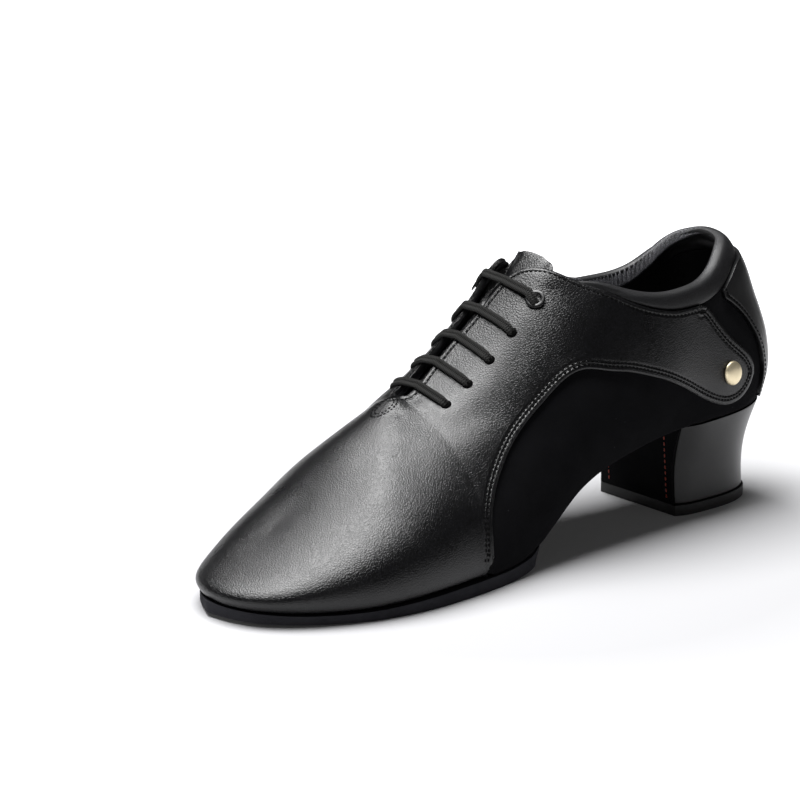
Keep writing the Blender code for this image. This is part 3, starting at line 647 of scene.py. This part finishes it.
def makeFrontLeather(s):
    piece = faceSkin("front_leather", "frontLeather", (1, 0, 0), s["missed"])
    mendSeam(piece, s)
    tuckUnder(piece, s)
    applyModifier(piece, "SUBSURF", levels=2, render_levels=2, boundary_smooth="ALL")
    edge = readPoints(piece)[openEdge(piece)]
    leaned = lean(edge)
    runs = {}

    def run(start, via, end):
        # found on the edge as it was, and taken from the edge as it is now
        order = edgeRun(edge, start, via, end)
        near = [int(np.argmin(np.linalg.norm(edge - p, axis=1))) for p in order]
        return leaned[near]

    for side, p in edgePlaces.items():
        runs[side + "Curve"] = run(p["foot"], p["bend"], p["tip"])
        runs[side + "Tip"] = run(p["tip"], p["end"], p["strapTop"])
        runs[side + "Collar"] = run(p["strapTop"], p["collar"], p["facing"])
        runs[side + "Facing"] = run(p["facing"], p["side"], throatPlace)
    writePoints(piece, lean(readPoints(piece)))
    settle(piece, edge, s)
    runs["outerFacing"], runs["innerFacing"] = closeThroat(runs["outerFacing"], s), closeThroat(runs["innerFacing"], s)
    writePoints(piece, closeThroat(readPoints(piece), s))
    creaseSheet(piece)
    folded = np.concatenate([runs[k] for k in runs if k.endswith(("Curve", "Tip"))])
    plain = np.concatenate([runs[k] for k in runs if k.endswith(("Collar", "Facing"))])
    points = readPoints(piece)
    storeValue(piece, "foldDistance", distanceTo(points, folded) / mm)
    storeValue(piece, "edgeDistance", distanceTo(points, plain) / mm)
    sheet = surfaceOf(piece)
    applyModifier(piece, "SOLIDIFY", thickness=s["thickness"], offset=-0.85, use_even_offset=False)
    applyModifier(piece, "BEVEL", width=s["round"], segments=3, limit_method="ANGLE", angle_limit=math.radians(50))
    finishPiece(piece, calf, "calf_leather", "front_leather")
    return piece, runs, sheet


frontLeather, edgeRuns, frontSheet = makeFrontLeather(frontSettings)


def layUnder(piece, sheet, depth, reach=5 * mm):
    # what the leather covers is held below it
    points = readPoints(piece)
    for i, point in enumerate(points):
        place, normal, _, away = sheet.find_nearest(Vector(point))
        if away > reach:
            continue
        off = Vector(point) - place
        above = off.dot(normal)
        if above > -depth and (off - normal * above).length < 0.25 * mm:
            points[i] -= np.array(normal) * (above + depth)
    writePoints(piece, points)


layUnder(suedeBody, frontSheet, 0.7 * mm)
print("front leather", len(frontLeather.data.polygons), "faces,", {k: len(v) for k, v in edgeRuns.items()})

# stitches


def stitchForm(length, width, height):
    bpy.ops.object.select_all(action="DESELECT")
    bpy.ops.mesh.primitive_uv_sphere_add(segments=8, ring_count=6, radius=0.5)
    form = bpy.context.object
    points = readPoints(form)
    faces = [list(f.vertices) for f in form.data.polygons]
    bpy.data.objects.remove(form)
    # ends rounder than an ellipsoid's
    points = np.sign(points) * np.abs(points * 2) ** 0.8 / 2
    return points * np.array([length, width, height]), faces


def sewn(name, places, along, up, finish, slotName, length=1.45 * mm, width=0.7 * mm, height=0.5 * mm):
    # copies of one stitch, joined as one mesh
    form, faces = stitchForm(length, width, height)
    across = np.cross(up, along)
    across /= np.linalg.norm(across, axis=1)[:, None]
    ahead = np.cross(across, up)
    ahead /= np.linalg.norm(ahead, axis=1)[:, None]
    turned = ahead[:, None] * form[None, :, :1] + across[:, None] * form[None, :, 1:2] + up[:, None] * form[None, :, 2:]
    points = (places[:, None] + turned).reshape(-1, 3)
    allFaces = [[k * len(form) + i for i in face] for k in range(len(places)) for face in faces]
    mesh = bpy.data.meshes.new(name)
    mesh.from_pydata(points.tolist(), [], allFaces)
    piece = bpy.data.objects.new(name, mesh)
    bpy.context.scene.collection.objects.link(piece)
    finishPiece(piece, finish, slotName)
    return piece


def beside(sheet, run, distance, pitch):
    # points on a sheet at a distance from its edge, with the line's direction and the sheet's normal
    line = evenly(run, pitch)
    line[1:-1] = (line[:-2] + line[1:-1] + line[2:]) / 3
    ahead = np.gradient(line, axis=0)
    ahead /= np.linalg.norm(ahead, axis=1)[:, None]
    rows = []
    for point, along in zip(line, ahead):
        probe = Vector(point)
        inward = sheet.find_nearest(probe)[1].cross(Vector(along)).normalized() * distance
        hits = [sheet.find_nearest(probe + inward * sign) for sign in (1, -1)]
        hit = min(hits, key=lambda h: h[3])
        rows.append((hit[0], along, hit[1]))
    return tuple(np.array([row[k] for row in rows]) for k in range(3))


def stitchFront(sheet, runs, s):
    rows = []
    for side in ("outer", "inner"):
        for row in s["stitchRows"]:
            rows.append((side + "Curve", row))
            rows.append((side + "Tip", row))
        rows.append((side + "Facing", s["facingRow"]))
        rows.append((side + "Collar", s["collarRow"]))
    parts = [beside(sheet, runs[name], row * mm, s["stitchPitch"]) for name, row in rows]
    places, along, up = (np.concatenate([part[k] for part in parts]) for k in range(3))
    lift = s["thickness"] * 0.075 - 0.02 * mm
    return sewn("frontStitches", places + up * lift, along, up, threadCotton, "lace_cotton")


frontStitches = stitchFront(frontSheet, edgeRuns, frontSettings)
print("front stitches", len(frontStitches.data.polygons), "faces")

# the counter, collar, tongue, insole

counterSettings = {"thickness": 1.7 * mm, "round": 0.45 * mm, "row": 1.7}


def makeCounter(s):
    piece = faceSkin("counter", "counterCover", (0, 1, 0))
    applyModifier(piece, "SUBSURF", levels=3, render_levels=3, boundary_smooth="ALL")
    points = readPoints(piece)
    points[:, :2] -= (points[:, :2] - np.array([0, 60]) * mm) * 0.012 * smoothShare((56 * mm - points[:, 2:]) / (12 * mm))
    writePoints(piece, points)
    edge = readPoints(piece)[openEdge(piece)]
    runs = [lean(edgeRun(edge, (27.5, 102.7, 92.8), (28.4, 113.6, 81.2), (27.1, 123.8, 46))),
            lean(edgeRun(edge, (-29.8, 102.9, 92.8), (-30.6, 113.7, 81.2), (-29.2, 123.8, 46)))]
    writePoints(piece, lean(readPoints(piece)))
    storeValue(piece, "edgeDistance", distanceTo(readPoints(piece), np.concatenate(runs)) / mm)
    sheet = surfaceOf(piece)
    applyModifier(piece, "SOLIDIFY", thickness=s["thickness"], offset=-0.9, use_even_offset=False)
    applyModifier(piece, "BEVEL", width=s["round"], segments=3, limit_method="ANGLE", angle_limit=math.radians(50))
    finishPiece(piece, smoothCalf, "smooth_leather", "counter")
    parts = [beside(sheet, run, s["row"] * mm, frontSettings["stitchPitch"]) for run in runs]
    places, along, up = (np.concatenate([part[k] for part in parts]) for k in range(3))
    sewn("counterStitches", places + up * 0.05 * mm, along, up, threadCotton, "lace_cotton")
    return piece


counterCover = makeCounter(counterSettings)


collarSettings = {
    "keel": 3.2 * mm,
    "lower": 1.5 * mm,
    "narrower": 0.5 * mm,
    "height": ((28, 0.45), (34, 0.5), (50, 0.72), (72, 0.95), (80, 1)),  # place along the shoe, with the share kept
}


def makeCollar(s):
    # the roll's flat underside goes on down as a flange, so that no light shows below it
    piece = copyNode("collar", "paddedCollar")
    creaseSharp(piece, 60, 0.5)
    under = [f.index for f in piece.data.polygons if f.normal.z < -0.6]
    points = readPoints(piece)
    foot = np.array([points[list(piece.data.polygons[i].vertices)].mean(0) for i in under])
    tree = KDTree(len(foot))
    for i, point in enumerate(foot):
        tree.insert((point[0], point[1], 0), i)
    tree.balance()
    level = np.array([foot[tree.find((x, y, 0))[1], 2] for x, y, _ in points])
    kept = np.interp(points[:, 1] / mm, *zip(*s["height"]))
    points[:, 2] = level + (points[:, 2] - level) * kept
    low = smoothShare((6 * mm - (points[:, 2] - level)) / (6 * mm)) * smoothShare((points[:, 1] - 40 * mm) / (30 * mm))
    points[:, 2] -= low * s["lower"]
    writePoints(piece, points)
    bpy.ops.object.mode_set(mode="EDIT")
    bpy.ops.mesh.select_mode(type="FACE")
    bpy.ops.mesh.select_all(action="DESELECT")
    bpy.ops.object.mode_set(mode="OBJECT")
    for i in under:
        piece.data.polygons[i].select = True
    bpy.ops.object.mode_set(mode="EDIT")
    bpy.ops.mesh.inset(thickness=s["narrower"])
    bpy.ops.mesh.extrude_region_move(TRANSFORM_OT_translate={"value": (0, 0, -s["keel"])})
    bpy.ops.object.mode_set(mode="OBJECT")
    applyModifier(piece, "SUBSURF", levels=3, render_levels=3)
    writePoints(piece, lean(readPoints(piece)))
    finishPiece(piece, softLining, "lining", "collar")
    return piece


paddedCollar = makeCollar(collarSettings)


def refinedCopy(nodeName, pieceName, finish, slotName, levels, angle=45, crease=1.0, round=0.0):
    piece = copyNode(nodeName, pieceName)
    creaseSharp(piece, angle, crease)
    applyModifier(piece, "SUBSURF", levels=levels, render_levels=levels)
    if round:
        applyModifier(piece, "BEVEL", width=round, segments=3, limit_method="ANGLE", angle_limit=math.radians(angle))
    writePoints(piece, lean(readPoints(piece)))
    finishPiece(piece, finish, slotName, nodeName)
    return piece


tongue = refinedCopy("tongue", "tongueLeather", calf, "calf_leather", 2, 50, 0.4)
tongueTip = {"from": 4 * mm, "over": 14 * mm, "aside": 8 * mm, "middle": -10 * mm, "wider": 0.22, "back": 0.3,
             "outerBack": 0.3, "innerEdge": -14 * mm, "drawnIn": 0.7, "peak": (-8 * mm, 113.6 * mm),
             "innerFall": 34, "outerFall": 16}


def shapeTongue(piece, s):
    # its free end lies further in, and is flatter than under the facings
    points = readPoints(piece)
    share = np.clip((points[:, 1] - s["from"]) / s["over"], 0, 1)
    points[:, 0] += share * (s["wider"] * (points[:, 0] - s["middle"]) - s["aside"])
    off = points[:, 0] - s["middle"]
    points[:, 1] += share * s["back"] * np.clip(-off - 4 * mm, 0, 12 * mm)
    points[:, 1] += share * s["outerBack"] * np.clip(off, 0, 18 * mm)
    past = np.clip(s["innerEdge"] - points[:, 0], 0, None)
    points[:, 0] += share * s["drawnIn"] * past
    # its free edge is a low arch: the height of each strip is set at its free end
    strips = np.round(points[:, 0] / (2 * mm)).astype(int)
    tops = {strip: points[(strips == strip) & (share > 0.5), 2].max() for strip in set(strips[share > 0.5])}
    middles = np.array(sorted(tops)) * 2 * mm
    ends = np.interp(points[:, 0], middles, [tops[strip] for strip in sorted(tops)])
    aside = points[:, 0] - s["peak"][0]
    arch = s["peak"][1] - np.where(aside < 0, s["innerFall"], s["outerFall"]) * aside ** 2
    points[:, 2] += share * (arch - ends)
    writePoints(piece, points)


shapeTongue(tongue, tongueTip)
layUnder(tongue, frontSheet, 2.2 * mm, 12 * mm)
insole = refinedCopy("insole", "insoleLining", softLining, "lining", 2, 45, 1.0)
sole = refinedCopy("forefoot_sole", "splitSole", soleSplit, "sole_suede", 3, 65, 1.0, 0.5 * mm)
heel = refinedCopy("heel", "coveredHeel", smoothCalf, "smooth_leather", 3, 45, 1.0, 0.6 * mm)
breast = refinedCopy("heel_breast", "heelBreast", suede, "suede", 2, 45, 1.0, 0.3 * mm)
lift = refinedCopy("top_lift", "topLift", liftRubber, "lift_rubber", 3, 45, 1.0, 0.6 * mm)
outerEyelet = refinedCopy("eyelet_outer", "eyeletOuter", blackEnamel, "eyelet_metal", 1, 80, 0.0)
eyeletMiddle = readPoints(outerEyelet).mean(0)
eyeletUp = np.array(frontSheet.find_nearest(Vector(eyeletMiddle))[1])
eyeletOff = (readPoints(outerEyelet) - eyeletMiddle) @ eyeletUp
writePoints(outerEyelet, readPoints(outerEyelet) - eyeletUp * (1.0 * mm + 0.35 * eyeletOff)[:, None])
innerEyelet = refinedCopy("eyelet_inner", "eyeletInner", blackEnamel, "eyelet_metal", 1, 80, 0.0)
rivet = refinedCopy("rivet", "goldRivet", paleGold, "gold_metal", 2, 50, 0.6)
rivetPoints = readPoints(rivet)
rivetMiddle = rivetPoints.mean(0)
writePoints(rivet, rivetMiddle + (rivetPoints - rivetMiddle) * np.array([1, 1.15, 1.15]) + np.array([0, -1.2, 0]) * mm)
print("counter, collar, tongue, soles, heel and metal made")

# the gathered lining inside the collar, the tack at the throat's foot, the stitches on the heel's breast

gatherSettings = {
    "middle": (-2 * mm, 84 * mm),
    "turns": (15, 262),  # degrees, from the outer side over the back to the inner side's front
    "steps": 700,
    "rows": 9,
    "start": 1.3 * mm,
    "inward": 3.6 * mm,
    "down": 6.8 * mm,
    "pitch": 1.9 * mm,
    "depth": 0.42 * mm,
}


def makeGathers(s):
    top = surfaceOf(paddedCollar)
    turns = np.radians(np.linspace(*s["turns"], s["steps"]))
    ridge = []
    for turn in turns:
        ahead = np.array([math.cos(turn), math.sin(turn)])
        first, highest = None, 0
        for radius in np.arange(8, 75, 0.4) * mm:
            x, y = np.array(s["middle"]) + ahead * radius
            hit = top.ray_cast(Vector((x, y, 0.2)), Vector((0, 0, -1)))[0]
            if hit and hit.z > 84 * mm:
                first = first or radius
                highest = max(highest, hit.z)
        ridge.append((first, turn, highest) if first else ridge[-1])
    radius, turn, height = np.array(ridge).T
    window = np.hanning(25) / np.hanning(25).sum()
    radius, height = (np.convolve(np.pad(v, 12, "edge"), window, "valid") for v in (radius, height))
    line = np.stack([s["middle"][0] + np.cos(turn) * radius, s["middle"][1] + np.sin(turn) * radius], 1)
    run = np.r_[0, np.cumsum(np.linalg.norm(np.diff(line, axis=0), axis=1))]
    phase = 2 * math.pi * run / s["pitch"] + 1.3 * np.sin(run / (7 * mm)) + 0.8 * np.sin(run / (3.1 * mm))
    strength = 0.6 + 0.4 * np.sin(run / (5.3 * mm) + 1)
    points = []
    wide = 0.35 + 0.65 * smoothShare((np.degrees(turn) - 85) / 50)
    for row in range(s["rows"]):
        f = row / (s["rows"] - 1)
        fold = s["depth"] * strength * np.sin(phase + 0.9 * f) * math.sin(math.pi * min(f * 1.25, 1)) ** 0.7
        reach = radius + s["start"] - s["inward"] * wide * f ** 0.8 - fold * 0.6
        z = height - 0.2 * mm - s["down"] * wide * f ** 1.5 + fold * 0.8
        points.append(np.stack([s["middle"][0] + np.cos(turn) * reach, s["middle"][1] + np.sin(turn) * reach, z], 1))
    points = np.concatenate(points)
    steps = s["steps"]
    faces = [[r * steps + i, r * steps + i + 1, (r + 1) * steps + i + 1, (r + 1) * steps + i]
             for r in range(s["rows"] - 1) for i in range(steps - 1)]
    mesh = bpy.data.meshes.new("gatheredLiningPaintedLit")
    mesh.from_pydata(points.tolist(), [], faces)
    piece = bpy.data.objects.new("gatheredLiningPaintedLit", mesh)
    bpy.context.scene.collection.objects.link(piece)
    applyModifier(piece, "SOLIDIFY", thickness=0.8 * mm, offset=-1)
    only(piece)
    bpy.ops.object.mode_set(mode="EDIT")
    bpy.ops.mesh.select_all(action="SELECT")
    bpy.ops.mesh.normals_make_consistent(inside=False)
    bpy.ops.object.mode_set(mode="OBJECT")
    # its pale finish is painted light on the lining
    finishPiece(piece, gatheredLiningPaintedLit, "lining")


makeGathers(gatherSettings)

tackSettings = {"middle": (-8.0, -48.0), "rings": ((4.3, 24), (3.0, 16)), "oval": 1.55}


def sewTack(s):
    places, along, up = [], [], []
    place, normal = frontSheet.ray_cast(Vector((s["middle"][0] * mm, s["middle"][1] * mm, 0.2)), Vector((0, 0, -1)))[:2]
    side = Vector((1, 0, 0)) - normal * normal.x
    side.normalize()
    fore = normal.cross(side)
    for radius, count in s["rings"]:
        for turn in np.linspace(0, 2 * math.pi, count, endpoint=False):
            off = side * math.cos(turn) + fore * math.sin(turn) * s["oval"]
            hit = frontSheet.find_nearest(place + off * radius * mm)
            places.append(hit[0])
            up.append(hit[1])
            along.append(side * -math.sin(turn) + fore * math.cos(turn) * s["oval"])
    places, along, up = (np.array([tuple(v) for v in rows]) for rows in (places, along, up))
    sewn("tackStitches", places + up * 0.1 * mm, along, up, threadCotton, "lace_cotton", 1.15 * mm, 0.75 * mm, 0.55 * mm)


sewTack(tackSettings)

rustSettings = {"rows": (-17.2, 17.2), "from": 8.0, "to": 34.5, "pitch": 2.5, "length": 1.7 * mm}


def sewBreast(s):
    face = surfaceOf(breast)
    places, along, up = [], [], []
    for x in s["rows"]:
        for z in np.arange(s["from"], s["to"], s["pitch"]):
            hit = face.ray_cast(Vector((x * mm, 0, z * mm)), Vector((0, 1, 0)))
            if hit[0]:
                places.append(tuple(hit[0]))
                up.append(tuple(hit[1]))
                along.append((0.0, 0.0, 1.0))
    places, along, up = (np.array(rows) for rows in (places, along, up))
    sewn("breastStitches", places + up * 0.05 * mm, along, up, rustThread, "suede", s["length"], 0.75 * mm, 0.5 * mm)


sewBreast(rustSettings)
print("lining gathered, tack and breast sewn")

# the lace: flat bars over the facings, diagonals below them

laceSettings = {
    "width": 3.7 * mm,
    "thickness": 2.0 * mm,
    "groove": 0.75 * mm,
    "sides": 28,
    "dive": 2.6 * mm,
    "curl": 3.0 * mm,
    "sink": 3.6 * mm,
    "taper": 0.72,
    "ticks": 0.9 * mm,
}


def laceSection(s):
    turn = np.linspace(0, 2 * math.pi, s["sides"], endpoint=False)
    across = np.sign(np.cos(turn)) * np.abs(np.cos(turn)) ** 0.8
    up = np.sign(np.sin(turn)) * np.abs(np.sin(turn)) ** 0.7
    groove = s["groove"] / (s["thickness"] / 2) * np.exp(-(across / 0.3) ** 2)
    return np.stack([across * s["width"] / 2, up * (1 - groove) * s["thickness"] / 2], 1)


def sweepLace(name, path, across, widths, s):
    # a closed braided band along a path, with a braid map for its ticks
    ahead = np.gradient(path, axis=0)
    ahead /= np.linalg.norm(ahead, axis=1)[:, None]
    across = across - np.sum(across * ahead, axis=1)[:, None] * ahead
    across /= np.linalg.norm(across, axis=1)[:, None]
    up = np.cross(ahead, across)
    section = laceSection(s)
    scaled = section[None] * widths[:, None, None]
    points = path[:, None] + across[:, None] * scaled[..., :1] + up[:, None] * scaled[..., 1:]
    rows, sides = points.shape[:2]
    faces = [[i * sides + j, i * sides + (j + 1) % sides, (i + 1) * sides + (j + 1) % sides, (i + 1) * sides + j]
             for i in range(rows - 1) for j in range(sides)]
    faces += [list(range(sides))[::-1], list(range((rows - 1) * sides, rows * sides))]
    mesh = bpy.data.meshes.new(name)
    mesh.from_pydata(points.reshape(-1, 3).tolist(), [], faces)
    braid = mesh.uv_layers.new(name="braid")
    run = np.r_[0, np.cumsum(np.linalg.norm(np.diff(path, axis=0), axis=1))] / s["ticks"]
    for loop in mesh.loops:
        row, side = divmod(loop.vertex_index, sides)
        braid.data[loop.index].uv = (section[side, 0] / (s["width"] / 4) + 0.5, run[row])
    piece = bpy.data.objects.new(name, mesh)
    bpy.context.scene.collection.objects.link(piece)
    only(piece)
    bpy.ops.object.mode_set(mode="EDIT")
    bpy.ops.mesh.select_all(action="SELECT")
    bpy.ops.mesh.normals_make_consistent(inside=False)
    bpy.ops.object.mode_set(mode="OBJECT")
    return piece


def upperHull(x, z):
    # the line of a taut lace over a surface
    keep = []
    for i in range(len(x)):
        while len(keep) > 1:
            a, b = keep[-2], keep[-1]
            if (z[b] - z[a]) * (x[i] - x[a]) > (z[i] - z[a]) * (x[b] - x[a]):
                break
            keep.pop()
        keep.append(i)
    return np.interp(x, x[keep], z[keep])


# holes in the outer facing, in mm; those of the inner one are out of sight
laceHoles = ((9.1, -31.5), (9.7, -21.3), (10.5, -11.0), (11.5, -0.7), (13.7, 9.5))
leatherTop = surfaceOf(frontLeather, tongue, outerEyelet)
holeSettings = {"radius": 2.15 * mm, "eyelet": 2.5 * mm, "rise": 0.18 * mm}


innerRing = readPoints(innerEyelet).mean(0)
innerHoles = [(-24.5, y) for _, y in laceHoles[:4]] + [(innerRing[0] / mm, innerRing[1] / mm)]


def markHoles(s, side, holes):
    # a dark disc in each hole: painted shade of the hole round the lace, together with the leather's dark cut edge
    for row, (x, y) in enumerate(holes):
        hit = frontSheet.ray_cast(Vector((x * mm, y * mm, 0.2)), Vector((0, 0, -1)))
        place, normal = hit[0], hit[1]
        radius = s["eyelet"] if row == 4 else s["radius"]
        bpy.ops.object.select_all(action="DESELECT")
        bpy.ops.mesh.primitive_circle_add(vertices=32, radius=radius, fill_type="TRIFAN")
        disc = bpy.context.object
        disc.name = f"{side}HoleShade{row + 1}"
        turn = normal.to_track_quat("Z", "Y").to_matrix()
        off = place + normal * (0.15 * s["rise"] if row == 4 else s["rise"])
        writePoints(disc, np.array([tuple(turn @ v.co + off) for v in disc.data.vertices]))
        applyModifier(disc, "SOLIDIFY", thickness=0.1 * mm, offset=-1)
        finishPiece(disc, holeShadeDisc, "calf_leather")


markHoles(holeSettings, "outer", laceHoles)
markHoles(holeSettings, "inner", [(x + 1.2, y + 0.3) for x, y in innerHoles])


def heightAt(x, y):
    hit = leatherTop.ray_cast(Vector((x, y, 0.2)), Vector((0, 0, -1)))
    return hit[0].z if hit[0] else 0.0


def makeLaceBar(row, s):
    outer, y = (v * mm for v in laceHoles[row])
    inner, innerY = (v * mm for v in innerHoles[row])
    x = np.linspace(inner, outer, 61)
    along = y + (innerY - y) * np.clip(x / inner, 0, 1)
    ground = np.array([heightAt(*v) for v in zip(x, along)])
    ride = upperHull(x, ground)
    path = np.stack([x, along, ride], 1)
    # it lies flat on the instep's slope, half its thickness above it
    slope = np.array([0.0, -0.66, 0.75])
    high = np.full(61, s["thickness"] / 2)
    fall = np.clip((outer - x) / s["dive"], 0, 1)
    high -= (1 - np.sqrt(1 - (1 - fall) ** 2)) * s["thickness"]
    path += slope * high[:, None]
    # and it goes down into the inner facing's hole
    fall = np.clip((x - inner) / s["curl"], 0, 1)
    inwards = np.array(frontSheet.find_nearest(Vector(path[0]))[1])
    path -= inwards * ((1 - np.sqrt(1 - (1 - fall) ** 2)) * s["sink"])[:, None]
    path[:, 1] += 0.4 * mm * dice.uniform(-1, 1) * np.sin(np.linspace(0, math.pi, 61))
    path = np.concatenate([path, [path[-1] - slope * 2.4 * mm]])
    path = evenly(path, 0.5 * mm)
    for _ in range(2):
        path[1:-1] = (path[:-2] + path[1:-1] + path[2:]) / 3
    count = len(path)
    left = np.minimum(np.arange(count)[::-1], np.arange(count)) * 0.5 * mm
    widths = s["taper"] + (1 - s["taper"]) * np.clip(left / (6 * mm), 0, 1)
    piece = sweepLace(f"laceBar{row + 1}", path, np.tile([0.0, 0.75, 0.66], (count, 1)), widths, s)
    finishPiece(piece, laceCotton, "lace_cotton", f"lace_bar_{row + 1}")
    return (inner, outer, y)


barEnds = [makeLaceBar(row, laceSettings) for row in range(5)]
tongueTop = surfaceOf(tongue)


def makeLaceUnder(row, s):
    # from below the inner facing up to below the outer facing, one row higher
    inner, _, y0 = barEnds[row]
    _, outer, y1 = barEnds[row + 1]
    share = np.linspace(0.18, 0.82, 24)
    path = []
    for f in share:
        x = inner + (outer - inner) * f
        y = y0 + (y1 - y0) * f
        hit = tongueTop.ray_cast(Vector((x, y, 0.2)), Vector((0, 0, -1)))
        path.append((x, y, (hit[0].z if hit[0] else 0) + s["thickness"] * 0.7))
    path = np.array(path)
    path[1:-1] = (path[:-2] + path[1:-1] + path[2:]) / 3
    across = np.cross(np.tile([0.0, -0.66, 0.75], (len(path), 1)), np.gradient(path, axis=0))
    piece = sweepLace(f"laceUnder{row + 1}", path, across, np.full(len(path), 0.85), s)
    finishPiece(piece, laceCotton, "lace_cotton")


for row in range(4):
    makeLaceUnder(row, laceSettings)
print("lace made")

# stage and light

stageSettings = {"floor": 9.0, "sky": 0.05}


def addStage(s):
    bpy.ops.object.select_all(action="DESELECT")
    bpy.ops.mesh.primitive_plane_add(size=s["floor"], location=(0, 0, -0.05 * mm))
    floor = bpy.context.object
    floor.name = "paleFloor"
    white, shader = newFinish("matteWhiteCard", "#b6b6b8", 0.9)
    place = objectPlace(white)
    reach = addNode(white, "ShaderNodeVectorMath", {"operation": "LENGTH"}, {0: place})
    glow = addNode(white, "ShaderNodeMapRange", {"From Min": 0.13, "From Max": 0.45, "To Min": 0.02, "To Max": 0.95},
                   {"Value": reach.outputs["Value"]})
    # the card glows behind the shoe only, and falls off on its outer side
    side = addNode(white, "ShaderNodeVectorMath", {"operation": "DOT_PRODUCT", 1: (0.735, 0.693, 0)}, {0: place})
    fade = addNode(white, "ShaderNodeMapRange", {"From Min": 0.2, "From Max": 0.42, "To Min": 1.0, "To Max": 0.0},
                   {"Value": side.outputs["Value"]})
    lit = addNode(white, "ShaderNodeMath", {"operation": "MULTIPLY"}, {0: glow.outputs["Result"], 1: fade.outputs["Result"]})
    shader.inputs["Emission Color"].default_value = (1, 1, 1, 1)
    white.node_tree.links.new(lit.outputs["Value"], shader.inputs["Emission Strength"])
    floor.data.materials.append(white)
    world = bpy.data.worlds.new("studio")
    bpy.context.scene.world = world
    world.use_nodes = True
    world.node_tree.nodes["Background"].inputs["Color"].default_value = (1, 1, 1, 1)
    world.node_tree.nodes["Background"].inputs["Strength"].default_value = s["sky"]


def addLight(name, size, power, place, aim):
    bpy.ops.object.light_add(type="AREA", location=place)
    lamp = bpy.context.object
    lamp.name = name
    lamp.data.shape = "RECTANGLE"
    lamp.data.size, lamp.data.size_y = size
    lamp.data.energy = power
    lamp.rotation_euler = (Vector(aim) - Vector(place)).to_track_quat("-Z", "Y").to_euler()


addStage(stageSettings)
addLight("softboxAbove", (1.0, 1.0), 41, (-0.33, -0.14, 1.2), (-0.33, -0.14, 0))
bpy.context.scene.view_settings.view_transform = "Standard"
print("stage lit")
